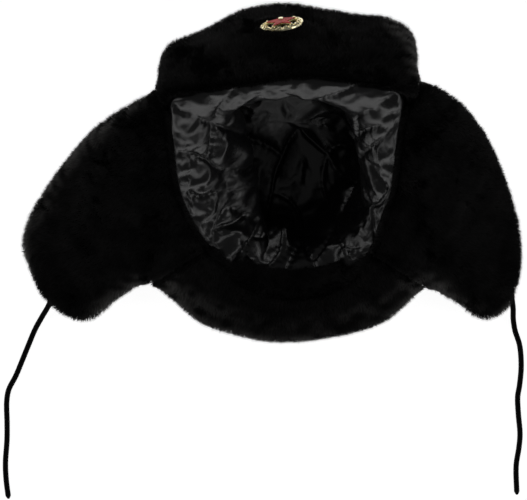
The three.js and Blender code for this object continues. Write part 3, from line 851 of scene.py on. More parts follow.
@dataclass
class FurPiece:
    """One fur piece of the hat: a soft backing and the hairs that stand on it.

    The solid's outside is the outside of the pile, so the backing lies a pile's depth inside it, except where
    it meets another piece.
    """

    node: Node
    pile: Pile
    depth: float = 4.7 * MM
    voxel: float = 3.6 * MM
    fade_from: float = 1.5 * MM
    fade_to: float = 14 * MM
    rounding: int = 6
    least_room: float = 0.42
    most_room: float = 1.5
    fringe_reach: float = 6 * MM
    fringe_length: float = 4.5 * MM
    probe_depth: float = 0.3 * MM
    root_lift: float = 0.2 * MM
    tries_share: float = 1.9
    rim_highlight: RimHighlight = RimHighlight()

    def build_backing(self) -> bpy.types.Mesh:
        """Returns the backing's mesh: the solid remeshed, softened and drawn in."""
        mesh = baked(mesh_from(merged_copy(self.node), f"{self.node.value}_start"), self.soften)
        points, normals = coordinates(mesh), point_normals(mesh)
        gaps = gaps_to(neighbours_tree(self.node), points, self.fade_to)
        share = smoothstep(self.fade_from, self.fade_to, gaps) * self.drawn_share(points, normals)
        moved = points - normals * (self.depth * share)[:, None]
        moved[:, 2] = np.maximum(moved[:, 2], 0.0)
        put_coordinates(mesh, moved)
        store(mesh, "room", self.room(moved, normals))
        mesh.shade_smooth()
        return mesh

    def room(self, points: np.ndarray, normals: np.ndarray) -> np.ndarray:
        """How much of its length a hair has room for at each place, up to the solid's own surface."""
        solid = solid_tree([self.node])
        stand = self.pile.length * math.cos(self.pile.lean)
        found = np.full(len(points), self.least_room)
        for index, (point, normal) in enumerate(zip(points, normals)):
            start = Vector(point - normal * self.probe_depth)
            distance = solid.ray_cast(start, Vector(normal), 2 * stand)[3]
            if distance is not None:
                found[index] = (distance - self.probe_depth) / stand
        return np.clip(found, self.least_room, self.most_room)

    def soften(self, holder: bpy.types.Object) -> None:
        """Adds the modifiers that turn the facets into a soft pad."""
        remesh = holder.modifiers.new("remesh", "REMESH")
        remesh.mode = "VOXEL"
        remesh.voxel_size = self.voxel
        smooth = holder.modifiers.new("smooth", "SMOOTH")
        smooth.factor = 0.5
        smooth.iterations = self.rounding

    def drawn_share(self, points: np.ndarray, normals: np.ndarray) -> np.ndarray:
        """Share of the pile's depth by which each point of the backing is drawn in."""
        return np.ones(len(points))

    def combed(self, points: np.ndarray) -> np.ndarray:
        """The way the hairs are combed at each place: away from the head opening's middle."""
        return unit(points - RIM_CENTRE)

    def hair_share(self, points: np.ndarray, normals: np.ndarray) -> np.ndarray:
        """How thickly hairs grow at each place, from 0 to 1."""
        return np.where(normals[:, 2] < -0.3, self.pile.under_share, 1.0)

    def roots(self, mesh: bpy.types.Mesh, rng: np.random.Generator) -> tuple[np.ndarray, ...]:
        """Scatters the hairs' roots over what shows of the backing.

        Args:
            mesh: The backing.
            rng: Source of the random draws.

        Returns:
            The roots, the backing's normals there, and the share of its length that each hair has room for.
        """
        points, normals, corners = coordinates(mesh), point_normals(mesh), corner_triples(mesh)
        room = stored(mesh, "room")
        a, b, c = (points[corners[:, k]] for k in range(3))
        areas = np.linalg.norm(np.cross(b - a, c - a), axis=1) / 2
        share = self.hair_share((a + b + c) / 3, unit(np.cross(b - a, c - a)))
        chance = areas * share
        wanted = self.pile.wool + self.pile.guards
        tries = int(wanted * self.tries_share)
        picked = rng.choice(len(corners), size=tries, p=chance / chance.sum())
        mix = rng.dirichlet((1.0, 1.0, 1.0), size=tries)
        places = np.einsum("nk,nkj->nj", mix, points[corners[picked]])
        facing = unit(np.einsum("nk,nkj->nj", mix, normals[corners[picked]]))
        spare = np.einsum("nk,nk->n", mix, room[corners[picked]])
        tree = neighbours_tree(self.node)
        kept = []
        for index in range(tries):
            start = Vector(places[index] + facing[index] * self.root_lift)
            if tree.ray_cast(start, Vector(facing[index]), self.pile.clearance)[0] is None:
                kept.append(index)
                if len(kept) == wanted:
                    break
        return places[kept], facing[kept], spare[kept]

    def lie(self, roots: np.ndarray, normals: np.ndarray) -> tuple[np.ndarray, np.ndarray]:
        """The way that each hair leans.

        Args:
            roots: Where the hairs stand.
            normals: The backing's normals there.

        Returns:
            The way along the backing, and the hair's share in the fringe over the lining's edge.
        """
        pile = self.pile
        combed = self.combed(roots)
        combed = combed + math.tan(pile.sway) * ripple(roots, pile.sway_wavelength, pile.seed + 1, 3)
        combed = combed + pile.stray * ripple(roots, pile.stray_wavelength, pile.seed + 2, 3)
        along = unit(combed - normals * np.einsum("nj,nj->n", combed, normals)[:, None])
        over, share = self.fringe(roots)
        return unit(along * (1 - share) + over * share), share

    def grow(
        self, roots: np.ndarray, normals: np.ndarray, room: np.ndarray, guards: np.ndarray,
        rng: np.random.Generator,
    ) -> Blades:
        """Lets the hairs lean, bend, gather in tufts and turn about themselves.

        Args:
            roots: Where they stand.
            normals: The backing's normals there.
            room: The share of its length that each hair has room for.
            guards: Which of them are guard hairs.
            rng: Source of the random draws.

        Returns:
            The hairs' blades.
        """
        pile, count = self.pile, len(roots)
        along, share = self.lie(roots, normals)
        lean = (pile.lean + rng.normal(0.0, pile.lean_spread, count))[:, None]
        scatter = rng.normal(0.0, pile.scatter, (count, 3))
        length = np.where(guards, pile.guard_length, pile.length) * room
        length = np.maximum(length, self.fringe_length * share[:, 0])
        stretch = (1.0 + rng.normal(0.0, pile.length_spread, count)).clip(*pile.length_span)
        length = (length * stretch)[:, None]
        below, beyond = lean * (1 - pile.curl), lean * (1 + pile.curl)
        first = unit(normals * np.cos(below) + along * np.sin(below) + scatter)
        second = unit(normals * np.cos(beyond) + along * np.sin(beyond) + scatter)
        bends = roots + first * pile.bend * length
        tips = bends + second * (1 - pile.bend) * length
        pull = self.tuft_centres(roots) + normals * pile.tuft_height * length - tips
        tips = tips + pull * pile.tuft_pull * rng.uniform(0.3, 1.0, (count, 1))
        turn = rng.normal(0.0, pile.turn_spread, count)[:, None]
        side = unit(np.cross(second, normals + 0.01 * along))
        side = unit(side * np.cos(turn) + np.cross(second, side) * np.sin(turn))
        outward = np.einsum("nj,nj->n", np.cross(side, second), normals)
        side = side * np.where(outward < 0, -1.0, 1.0)[:, None]
        half = 0.5 * pile.width * rng.uniform(*pile.width_span, (count, 1))
        own = pile.gloss_lean * np.cross(side, second)
        glow = unit(normals + own + rng.normal(0.0, pile.gloss_spread, (count, 3)))
        return Blades(roots, bends, tips, side * half, glow)

    def build_pile(self, backing: bpy.types.Mesh) -> bpy.types.Mesh:
        """Grows the hairs as narrow blades, joined into one mesh.

        Args:
            backing: The mesh that they stand on.

        Returns:
            The hairs' mesh, with an attribute that holds the share along each hair, the hair's own shade, and
            how far it takes the painted rim highlight on the fur's edges.
        """
        pile = self.pile
        rng = np.random.default_rng(pile.seed)
        roots, normals, room = self.roots(backing, rng)
        guards = np.arange(len(roots)) < pile.guards
        hairs = self.grow(roots, normals, room, guards, rng)
        bent, straight = hairs.corners(guards, pile.waist)
        for blades in (bent, straight):
            blades[:, :, 2] = np.maximum(blades[:, :, 2], rng.uniform(*pile.lowest, blades.shape[:2]))
        bent_faces = (GUARD_CORNERS * np.arange(len(bent))[:, None, None] + GUARD_FACES).reshape(-1, 3)
        straight_faces = GUARD_CORNERS * len(bent) + np.arange(WOOL_CORNERS * len(straight)).reshape(-1, 3)
        points = np.vstack([bent.reshape(-1, 3), straight.reshape(-1, 3)])
        mesh = mesh_of(f"{self.node.value}_hairs", points, np.vstack([bent_faces, straight_faces]))
        shares = (np.tile((0.0, 0.0, 0.5, 0.5, 1.0), len(bent)), np.tile((0.0, 0.0, 1.0), len(straight)))
        shade = rng.uniform(0.0, 1.0, len(roots))
        # The third value is the painted rim highlight's share, varied a little by the hair's own tone
        rim_lit = self.rim_highlight.share(roots, normals) * (self.rim_highlight.least + (1 - self.rim_highlight.least) * shade)
        own = (on_corners(values, guards) for values in (shade, rim_lit))
        store(mesh, "hair", np.stack([np.concatenate(shares), *own], axis=1))
        mesh.shade_smooth()
        mesh.normals_split_custom_set_from_vertices(on_corners(hairs.glow, guards).tolist())
        return mesh

    def fringe(self, roots: np.ndarray) -> tuple[np.ndarray, np.ndarray]:
        """The hairs beside the lining, that lie over its edge.

        Args:
            roots: Where the hairs stand.

        Returns:
            The way over the lining's edge at each root, and the hair's share in the fringe, from 0 to 1.
        """
        lining = solid_tree([Node.LINING])
        over, share = np.zeros_like(roots), np.zeros((len(roots), 1))
        for index, root in enumerate(roots):
            place, _, _, distance = lining.find_nearest(Vector(root), self.fringe_reach)
            if place is not None:
                over[index] = np.array(place) - root
                share[index] = 1.0 - distance / self.fringe_reach
        return unit(over + 1e-9), smoothstep(0.0, 0.6, share)

    def tuft_centres(self, roots: np.ndarray) -> np.ndarray:
        """Middle of the small tuft that each hair belongs to, on a jittered grid."""
        cell = np.floor(roots / self.pile.tuft)
        stir = np.array([[12.9, 78.2, 37.7], [63.7, 10.9, 45.1], [27.3, 91.4, 5.3]])
        jitter = np.modf(np.abs(np.sin(cell @ stir) * 43758.5))[0]
        return (cell + 0.25 + 0.5 * jitter) * self.pile.tuft

    def dress(self, backing_finish: bpy.types.Material, pile_finish: bpy.types.Material) -> None:
        """Builds the piece, with its hairs as a piece of their own.

        Args:
            backing_finish: Material of the backing.
            pile_finish: Material of the hairs.
        """
        backing = self.build_backing()
        hairs = self.build_pile(backing)
        name = self.node.value
        pad = link_piece(f"{name}_fur", backing, backing_finish)
        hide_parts(name)
        link_piece(f"{name}_pile", hairs, pile_finish)
        log.info("%s: backing %d faces, hairs %d triangles", name, len(backing.polygons), len(hairs.polygons))


def mesh_of(name: str, points: np.ndarray, triangles: np.ndarray) -> bpy.types.Mesh:
    """Many small blades as one mesh, from arrays.

    Args:
        name: The mesh's name.
        points: One row for each point.
        triangles: Three point numbers in each row.

    Returns:
        The mesh.
    """
    mesh = bpy.data.meshes.new(name)
    mesh.vertices.add(len(points))
    mesh.vertices.foreach_set("co", points.astype(np.float32).ravel())
    mesh.loops.add(3 * len(triangles))
    mesh.loops.foreach_set("vertex_index", triangles.astype(np.int32).ravel())
    mesh.polygons.add(len(triangles))
    mesh.polygons.foreach_set("loop_start", np.arange(0, 3 * len(triangles), 3, dtype=np.int32))
    mesh.update(calc_edges=True)
    return mesh


@dataclass
class CrownFur(FurPiece):
    """The crown: fur outside only, since the lining covers its inside and its rim."""

    bare_to: float = 14 * MM
    full_from: float = 30 * MM
    middle_depth: float = 45 * MM

    def soften(self, holder: bpy.types.Object) -> None:
        """Rounds the shell's facets and keeps its thin rim."""
        refine(holder)

    def outside(self, points: np.ndarray, normals: np.ndarray) -> np.ndarray:
        """How far each place belongs to the crown's outside, from 0 to 1."""
        from_rim = points - RIM_CENTRE
        inward = from_rim @ INWARD
        middle = RIM_CENTRE + INWARD * self.middle_depth
        away = np.einsum("nj,nj->n", unit(points - middle), normals)
        return smoothstep(0.0, 0.3, away) * smoothstep(self.bare_to, self.full_from, inward)

    def drawn_share(self, points: np.ndarray, normals: np.ndarray) -> np.ndarray:
        """Only the outside is drawn in."""
        return self.outside(points, normals)

    def hair_share(self, points: np.ndarray, normals: np.ndarray) -> np.ndarray:
        """Hairs grow on the outside only."""
        return self.outside(points, normals)

    def combed(self, points: np.ndarray) -> np.ndarray:
        """Hairs lie from the rim toward the crown's top."""
        return np.tile(INWARD, (len(points), 1))


@dataclass
class NapeFringe(FurPiece):
    """The neck flap's fur where it laps over the lining's edge at the nape."""

    front: float = -62 * MM
    back: float = -78 * MM
    lip_depth: float = 5 * MM
    lip_full: float = 2 * MM
    aside_share: float = 0.35
    comb_depth: float = 20 * MM
    nape_room: float = 0.85

    def build_backing(self) -> bpy.types.Mesh:
        """Returns the lining's solid, refined, as what the hairs lie on."""
        mesh = baked(mesh_from(merged_copy(self.node), "nape_start"), refine)
        store(mesh, "room", np.full(len(mesh.vertices), self.nape_room))
        return mesh

    def hair_share(self, points: np.ndarray, normals: np.ndarray) -> np.ndarray:
        """Hairs grow on the lip at the nape only."""
        from_rim = points - RIM_CENTRE
        lip = smoothstep(self.lip_depth, self.lip_full, from_rim @ INWARD) * (normals @ -INWARD > 0.3)
        aside = self.aside_share * np.abs(from_rim[:, 0])
        return lip * smoothstep(self.front, self.back, from_rim @ FORWARD + aside)

    def combed(self, points: np.ndarray) -> np.ndarray:
        """Hairs lie toward the head opening."""
        return unit(RIM_CENTRE + INWARD * self.comb_depth - points)

    def fringe(self, roots: np.ndarray) -> tuple[np.ndarray, np.ndarray]:
        """No hair needs more of a lean than the comb gives it."""
        return np.zeros_like(roots), np.zeros((len(roots), 1))

    def dress(self, backing_finish: bpy.types.Material, pile_finish: bpy.types.Material) -> None:
        """Builds the hairs alone, since they stand on the lining's edge.

        Args:
            backing_finish: Not used here, because the lining is the backing.
            pile_finish: Material of the hairs.
        """
        backing = self.build_backing()
        hairs = self.build_pile(backing)
        bpy.data.meshes.remove(backing)
        link_piece("nape_fringe_pile", hairs, pile_finish)
        log.info("nape fringe: hairs %d triangles", len(hairs.polygons))


@dataclass
class TieCord:
    """One round braided tie that lies loose on the floor."""

    node: Node
    route: tuple
    radius: float = 2.4 * MM
    step: float = 0.7 * MM
    span_steps: int = 24
    sides: int = 24
    strands: int = 4
    pitch: float = 7.5 * MM
    relief: float = 0.2 * MM
    taper_length: float = 2.88 * MM
    taper_least: float = 0.1

    def centreline(self) -> np.ndarray:
        """The middle of the cord, as closely set points on a smooth curve through the route."""
        knots = np.array(self.route) * MM + FOOTPRINT_SHIFT
        ends = np.vstack([2 * knots[0] - knots[1], knots, 2 * knots[-1] - knots[-2]])
        points = []
        for before, start, end, after in zip(ends, ends[1:], ends[2:], ends[3:]):
            pairs = ((before, start), (start, end), (end, after))
            first, own, last = (max(np.linalg.norm(b - a), 1e-9) ** 0.5 for a, b in pairs)
            leave = (start - before) / first - (end - before) / (first + own) + (end - start) / own
            arrive = (end - start) / own - (after - start) / (own + last) + (after - end) / last
            share = np.linspace(0.0, 1.0, self.span_steps, endpoint=False)[:, None]
            square, cube = share ** 2, share ** 3
            points.append(
                start * (2 * cube - 3 * square + 1) + end * (3 * square - 2 * cube)
                + own * leave * (cube - 2 * square + share) + own * arrive * (cube - square)
            )
        dense = np.vstack([*points, ends[-2:-1]])
        run = run_along(dense)
        even = np.linspace(0.0, run[-1], int(run[-1] / self.step) + 1)
        return np.stack([np.interp(even, run, dense[:, axis]) for axis in range(3)], axis=1)

    def braided(self, line: np.ndarray, run: np.ndarray) -> np.ndarray:
        """Places of the braid's skin.

        Args:
            line: The centreline.
            run: Distance along it.

        Returns:
            One ring of places for each point of the line.
        """
        heading = unit(np.gradient(line, axis=0))
        across = unit(np.cross(heading, np.array([0.0, 0.0, 1.0])))
        up = np.cross(across, heading)
        turns = np.linspace(0.0, 2 * math.pi, self.sides, endpoint=False)
        twist = 2 * math.pi * run / self.pitch
        over = np.sin(self.strands * turns[None, :] + twist[:, None])
        under = np.sin(self.strands * turns[None, :] - twist[:, None])
        radius = self.radius - self.relief * (1.0 - np.abs(over * under) ** 0.5)
        left = np.clip((run[-1] - run) / self.taper_length, 0.0, 1.0)
        taper = np.sqrt(left * (1 - self.taper_least) + self.taper_least)
        radius = radius * taper[:, None]
        return (line[:, None, :] + across[:, None, :] * (radius * np.cos(turns))[:, :, None]
                + up[:, None, :] * (radius * np.sin(turns))[:, :, None])

    def build(self) -> tuple[bpy.types.Mesh, np.ndarray]:
        """Extrudes a ring along the centreline, and gives it the braid's relief and a UV map.

        Returns:
            The cord's mesh and its centreline.
        """
        line = self.centreline()
        run = np.arange(len(line)) * np.linalg.norm(line[1] - line[0])
        skin = self.braided(line, run)
        model = bmesh.new()
        uv = model.loops.layers.uv.new("UVMap")
        ring_of, side_of = (model.verts.layers.int.new(name) for name in ("ring", "side"))
        bmesh.ops.create_circle(model, cap_ends=False, radius=self.radius, segments=self.sides)
        for vertex in model.verts:
            turn = math.atan2(vertex.co.y, vertex.co.x) / (2 * math.pi) * self.sides
            vertex[side_of] = round(turn) % self.sides
        ring = model.edges[:]
        for number in range(1, len(line)):
            made = bmesh.ops.extrude_edge_only(model, edges=ring)["geom"]
            for vertex in (item for item in made if isinstance(item, bmesh.types.BMVert)):
                vertex[ring_of] = number
            ring = [item for item in made if isinstance(item, bmesh.types.BMEdge)]
        for vertex in model.verts:
            vertex.co = skin[vertex[ring_of], vertex[side_of]]
        for face in model.faces:
            sides = [loop.vert[side_of] for loop in face.loops]
            for loop, side in zip(face.loops, sides):
                turned = side + self.sides if side == 0 and max(sides) > 1 else side
                loop[uv].uv = (turned / self.sides, run[loop.vert[ring_of]])
        bmesh.ops.holes_fill(model, edges=[edge for edge in model.edges if edge.is_boundary])
        bmesh.ops.recalc_face_normals(model, faces=model.faces)
        mesh = mesh_from(model, self.node.value)
        mesh.shade_smooth()
        return mesh, line

    def dress(self, finish: bpy.types.Material) -> None:
        """Args:
            finish: The cord's material.
        """
        mesh, line = self.build()
        piece = link_piece(f"{self.node.value}_braid", mesh, finish)
        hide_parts(self.node.value)


@dataclass(frozen=True)
class Fold:
    """A ridge of the satin along a route, in millimetres; a crease has a rise below zero."""

    route: tuple
    rise: float
    half: float

    def height(self, gap: np.ndarray) -> np.ndarray:
        """Its height in metres at distances from its route."""
        return self.rise * MM * np.exp(-(gap / (self.half * MM)) ** 2)


class Courses:
    """Routes laid on a surface where the camera sees it, that distances are measured from."""

    roundings = 2

    def __init__(self, routes: Iterable[tuple], surface: BVHTree, step: float = 0.7 * MM) -> None:
        """Lays every route on the surface.

        Args:
            routes: Knots of each route, in millimetres, near the surface.
            surface: What they are laid on.
            step: Distance between two marks on a route.
        """
        places, self.along = [], []
        for route in routes:
            knots = np.array(route, float) * MM
            for _ in range(self.roundings):
                before, after = knots[:-1], knots[1:]
                cut = np.stack([0.75 * before + 0.25 * after, 0.25 * before + 0.75 * after], axis=1)
                knots = np.vstack([knots[:1], cut.reshape(-1, 3), knots[-1:]])
            run = run_along(knots)
            for mark in np.arange(0.0, run[-1], step):
                place = Vector([np.interp(mark, run, knots[:, axis]) for axis in range(3)])
                seen = surface.ray_cast(CAMERA_PLACE, (place - CAMERA_PLACE).normalized())[0]
                places.append(seen or surface.find_nearest(place)[0])
                self.along.append(mark)
        self.tree = KDTree(len(places))
        for index, place in enumerate(places):
            self.tree.insert(place, index)
        self.tree.balance()

    def measure(self, points: np.ndarray) -> tuple[np.ndarray, np.ndarray]:
        """Distance from each point to the nearest route, and how far along that route it is."""
        found = [self.tree.find(Vector(point)) for point in points]
        return np.array([hit[2] for hit in found]), np.array([self.along[hit[1]] for hit in found])


@dataclass
class Sag:
    """A side of the crown that has sunk inward: its crest, seen from above, and its fall.

    The crest's knots give its Y, its X and how far down the wall it is, in millimetres. The wall slopes down
    to the crest from the rim and drops away beyond it.
    """

    sign: int
    crest: tuple
    fall_run: float
    back_end: float
    front_end: float
    back_fade: float = 30
    front_fade: float = 34
    slope_power: float = 0.95

    def ends(self) -> tuple[float, float, float, float]:
        """Where the sag begins and ends along Y, with the eased stretches between."""
        return self.back_end, self.back_end + self.back_fade, self.front_end - self.front_fade, self.front_end


# The sides are the wearer's
RIGHT_SAG = Sag(
    sign=-1, fall_run=20, back_end=-112, front_end=84,
    crest=((-100, 12, 18), (-82, 9, 22), (-62, 7, 30), (-45, -3, 34), (-28, -10, 38), (-10, -12, 42),
           (10, -14, 44), (34, -20, 44), (60, -30, 40)),
)
LEFT_SAG = Sag(
    sign=1, fall_run=22, back_end=-84, front_end=84,
    crest=((-71, 80, 16), (-53, 81, 18), (-43, 80, 20), (-24, 77, 22), (-2, 72, 24), (18, 68, 24),
           (37, 64, 26), (54, 55, 28)),
)


@dataclass(frozen=True)
class Pocket:
    """The padded corner between the sunk side and the nape, in millimetres.

    Its two windows say where it rises and falls off along X and Y. Its top slopes down toward +X.
    """

    window_x: tuple = (-29, -19, 11, 18)
    window_y: tuple = (-90, -79, -40, -33)
    top: float = 51.0
    top_x: float = -6.0
    slope: float = 0.6
    most_lift: float = 18.0

    def share(self, points: np.ndarray) -> np.ndarray:
        """How far each point belongs to the corner, from 0 to 1."""
        return window(self.window_x, points[:, 0] / MM) * window(self.window_y, points[:, 1] / MM)

    def lift(self, points: np.ndarray) -> np.ndarray:
        """How far in metres each point is lifted to the corner's top, where it is wholly inside."""
        level = self.top - self.slope * (points[:, 0] / MM - self.top_x)
        return np.clip(level - points[:, 2] / MM, 0.0, self.most_lift) * MM


@dataclass
class Chart:
    """Places of the lining's points on the cloth.

    Bearing is in radians. In metres, run is down the wall from the rim, across and forward are from the
    middle, inward is the depth under the rim plane, and edge is the distance in from the lip's edge.
    """

    bearing: np.ndarray
    run: np.ndarray
    across: np.ndarray
    forward: np.ndarray
    inward: np.ndarray
    edge: np.ndarray


@dataclass
class QuiltedLining:
    """Satin quilted in diamonds, inside the crown and rolled over its rim."""

    half_width: float = 74 * MM
    half_length: float = 82 * MM
    depth: float = 94 * MM
    set_back: float = 2 * MM
    middle_depth: float = 20 * MM
    squareness: float = 2.9
    sectors: int = 120
    diamonds: int = 13
    diamond_height: float = 38 * MM
    panel_run: float = 112 * MM
    puff: float = 4.2 * MM
    pillow: float = 7 * MM
    seam_sink: float = 0.8 * MM
    seam_half: float = 1.3 * MM
    groove: float = 2.5 * MM
    groove_half: float = 1.2 * MM
    pucker: float = 0.38 * MM
    pucker_pitch: float = 5.5 * MM
    pucker_wander: float = 2.0
    crumple: float = 0.4 * MM
    growth: float = 0.05
    calm_growth: float = 0.03
    stiffness: float = 12.0
    shear: float = 4.0
    bending: float = 2.0
    damping: float = 8.0
    air_damping: float = 4.0
    mass: float = 0.12
    pressure: float = 4.0
    quality: int = 5
    frames: int = 22
    most_moved: float = 7 * MM
    edge_held: float = 2 * MM
    edge_free: float = 6 * MM
    unseen_from: float = 13 * MM
    unseen_to: float = 19 * MM
    bottom_free: float = 90 * MM
    bottom_held: float = 104 * MM
    gather_reach: float = 4 * MM
    gather_end: float = 12 * MM
    sags: tuple = (RIGHT_SAG, LEFT_SAG)
    pocket: Pocket = Pocket()

    def smooth_shell(self) -> bpy.types.Mesh:
        """Returns the lining's solid with its facets rounded."""
        model = merged_copy(Node.LINING)
        bmesh.ops.join_triangles(
            model, faces=model.faces, cmp_seam=False, cmp_sharp=False, cmp_uvs=False, cmp_vcols=False,
            cmp_materials=False, angle_face_threshold=math.pi, angle_shape_threshold=math.pi,
        )
        return baked(mesh_from(model, "lining_start"), refine)

    def chart(self, points: np.ndarray) -> Chart:
        """Finds each point's place on the cloth."""
        from_rim = points - RIM_CENTRE
        across, forward, inward = from_rim[:, 0], from_rim @ FORWARD, from_rim @ INWARD
        bearing = np.arctan2(forward + self.set_back, across)
        reach = np.hypot(across / self.half_width, (forward + self.set_back) / self.half_length)
        power = self.squareness / 2
        angle = np.arctan2(np.clip(inward / self.depth, 0, None) ** power, np.clip(reach, 0, 1) ** power)
        grid = np.linspace(0.0, math.pi / 2, 200)
        mean = (self.half_width + self.half_length) / 2
        outward, down = (np.stack([np.cos(grid), np.sin(grid)]) ** (1 / power)) * [[mean], [self.depth]]
        lengths = run_along(np.stack([outward, down], axis=1))
        run = np.interp(angle, grid, lengths) - np.clip(reach - 1, 0, None) * mean
        away = np.hypot(across, forward + self.set_back)
        sector = np.floor((bearing / math.pi + 1) * self.sectors / 2).astype(int) % self.sectors
        edge = np.zeros(self.sectors)
        np.maximum.at(edge, sector, away)
        edge = np.minimum(edge, np.minimum(np.roll(edge, 1), np.roll(edge, -1)) + 2 * MM)
        return Chart(bearing, run, across, forward, inward, edge[sector] - away)

    def inner_share(self, chart: Chart, points: np.ndarray, normals: np.ndarray) -> np.ndarray:
        """How far each point belongs to the side that faces the head, from 0 to 1."""
        middle = RIM_CENTRE + INWARD * self.middle_depth
        facing = np.einsum("nj,nj->n", unit(middle - points), normals)
        lip = smoothstep(4 * MM, -4 * MM, chart.inward) * (normals @ -INWARD > 0.2)
        return np.maximum(smoothstep(-0.05, 0.25, facing), lip)

    def plain_seams(self, chart: Chart, points: np.ndarray) -> np.ndarray:
        """Distance to the nearest seam of an even net of diamonds, for places that nothing shows."""
        turns = chart.bearing / (2 * math.pi) * self.diamonds
        rows = chart.run / self.diamond_height
        wander = 0.06 * ripple(points, 60 * MM, 31, 2)
        side = 0.5 * (2 * math.pi * self.half_width / self.diamonds)
        wall = (turns + rows + wander[:, 0], turns - rows + wander[:, 1])
        distance = np.where(chart.run > self.panel_run, side, 2 * side)
        for phase in wall:
            across = np.where(chart.run > self.panel_run, side, np.abs(phase - np.round(phase)) * side)
            distance = np.minimum(distance, across)
        return distance

    def sagging(self, chart: Chart, points: np.ndarray) -> np.ndarray:
        """How far each point of the wall has sunk toward the middle, as vectors."""
        moved = np.zeros_like(points)
        run = chart.run / MM
        y = points[:, 1] / MM
        for sag in self.sags:
            knots = np.array(sag.crest, float)
            crest, crest_run = (np.interp(y, knots[:, 0], knots[:, column]) for column in (1, 2))
            rise = np.clip((run + 2.0) / (crest_run + 2.0), 0.0, 1.0) ** sag.slope_power
            fall = 1 - smoothstep(crest_run - 1, crest_run + sag.fall_run, run)
            own_side = smoothstep(0.0, 0.5, sag.sign * chart.across / self.half_width)
            inward = np.clip((points[:, 0] - crest * MM) * sag.sign, 0.0, None) * -sag.sign
            moved[:, 0] += inward * rise * fall * window(sag.ends(), y) * own_side
        return moved

    def lift_pocket(self, mesh: bpy.types.Mesh, chart: Chart) -> None:
        """Lifts what faces up in the padded corner."""
        points, normals = coordinates(mesh), point_normals(mesh)
        share = self.pocket.share(points) * smoothstep(2 * MM, 8 * MM, chart.inward)
        points[:, 2] += self.pocket.lift(points) * share * smoothstep(0.2, 0.4, normals[:, 2])
        put_coordinates(mesh, points)

    def liveliness(self, chart: Chart) -> np.ndarray:
        """How much spare cloth each place has: most on the sunk right side of the head, least at the nape."""
        across, forward = chart.across / MM, chart.forward / MM
        sunk_side = smoothstep(5, -35, across)
        nape = smoothstep(-40, -58, forward) * smoothstep(-44, -26, across)
        brow = smoothstep(40, 58, forward)
        bottom = smoothstep(50, 78, chart.inward / MM)
        return (0.38 + 0.62 * sunk_side) * (1 - 0.9 * nape) * (1 - 0.45 * brow) * (1 - 0.6 * bottom)

    def shape(self, mesh: bpy.types.Mesh) -> tuple[np.ndarray, Courses]:
        """Sinks the walls, puffs the diamonds and lays the folds.

        Args:
            mesh: The rounded shell, moved here.

        Returns:
            How firmly each point is held while the cloth settles, from 0 to 1, and the seams' courses.
        """
        points, normals = coordinates(mesh), point_normals(mesh)
        chart = self.chart(points)
        inner = self.inner_share(chart, points, normals)
        self.lay_uv(mesh, chart)
        put_coordinates(mesh, points + self.sagging(chart, points) * inner[:, None])
        self.lift_pocket(mesh, chart)
        sunk, facing = coordinates(mesh), point_normals(mesh)
        faces = [face.vertices[:] for face in mesh.polygons]
        surface = BVHTree.FromPolygons([Vector(point) for point in sunk], faces)
        seams = Courses(QUILT_SEAMS, surface)
        distance = seams.measure(sunk)[0]
        unseen = smoothstep(self.unseen_from, self.unseen_to, distance)
        plain = np.minimum(distance, self.plain_seams(chart, points))
        pillows = (1 - unseen) * self.pillowed(distance) + unseen * self.pillowed(plain)
        pocket = self.pocket.share(sunk) * inner
        lively = self.liveliness(chart) * (1 - 0.85 * pocket)
        nape = smoothstep(-50, -68, chart.forward / MM) * smoothstep(-36, -16, chart.across / MM)
        flat = (1 - 0.85 * nape) * (1 - 0.6 * pocket)
        pillows = pillows * smoothstep(-1, 5, chart.edge / MM) * flat
        rise = pillows + self.creases(sunk) * lively * (1 - nape)
        for fold in FOLDS:
            rise = rise + fold.height(Courses([fold.route], surface).measure(sunk)[0])
        put_coordinates(mesh, sunk + facing * (rise * inner)[:, None])
        store(mesh, "rest", sunk)
        store(mesh, "facing", facing * inner[:, None])
        store(mesh, "calm", 1 - lively)
        held = np.maximum(1 - inner, np.where(unseen > 0.5, plain, distance) < self.seam_half)
        held = np.maximum(held, smoothstep(self.edge_free, self.edge_held, chart.edge))
        held = np.maximum(held, smoothstep(self.bottom_free, self.bottom_held, chart.run))
        return held, seams

    def pillowed(self, distance: np.ndarray) -> np.ndarray:
        """Height of the padding at a distance from its nearest seam."""
        return self.puff * (1 - np.exp(-distance / self.pillow)) - self.seam_sink

    def creases(self, points: np.ndarray) -> np.ndarray:
        """Height of the sharp small creases and ridges in the loose satin."""
        waves = ((42, 51), (27, 52), (9, 54))
        wide, fine, grain = (ripple(points, size * MM, seed)[:, 0] for size, seed in waves)
        ridges = 1.3 * np.exp(-(wide / 0.16) ** 2)
        furrows = np.exp(-(fine / 0.2) ** 2)
        return self.crumple * (ridges - furrows + 0.15 * grain)

    def stitch(self, mesh: bpy.types.Mesh, seams: Courses) -> None:
        """Presses the seams in sharply and gathers the satin along them.

        Args:
            mesh: The settled and refined lining, moved here.
            seams: The seams' courses, laid on the unsettled lining.
        """
        rest, facing = (stored(mesh, name) for name in ("rest", "facing"))
        for name in ("rest", "facing", "calm"):
            mesh.attributes.remove(mesh.attributes[name])
        distance, along = seams.measure(rest)
        inner = np.linalg.norm(facing, axis=1)
        pressed = -self.groove * np.exp(-(distance / self.groove_half) ** 2)
        wander = self.pucker_wander * ripple(rest, 30 * MM, 71)[:, 0]
        gathered = self.pucker * np.sin(along * 2 * math.pi / self.pucker_pitch + wander)
        gathered = gathered * np.exp(-distance / self.gather_reach) * (distance < self.gather_end)
        lift = (pressed + gathered) * np.clip(inner, 0.0, 1.0)
        put_coordinates(mesh, coordinates(mesh) + point_normals(mesh) * lift[:, None])

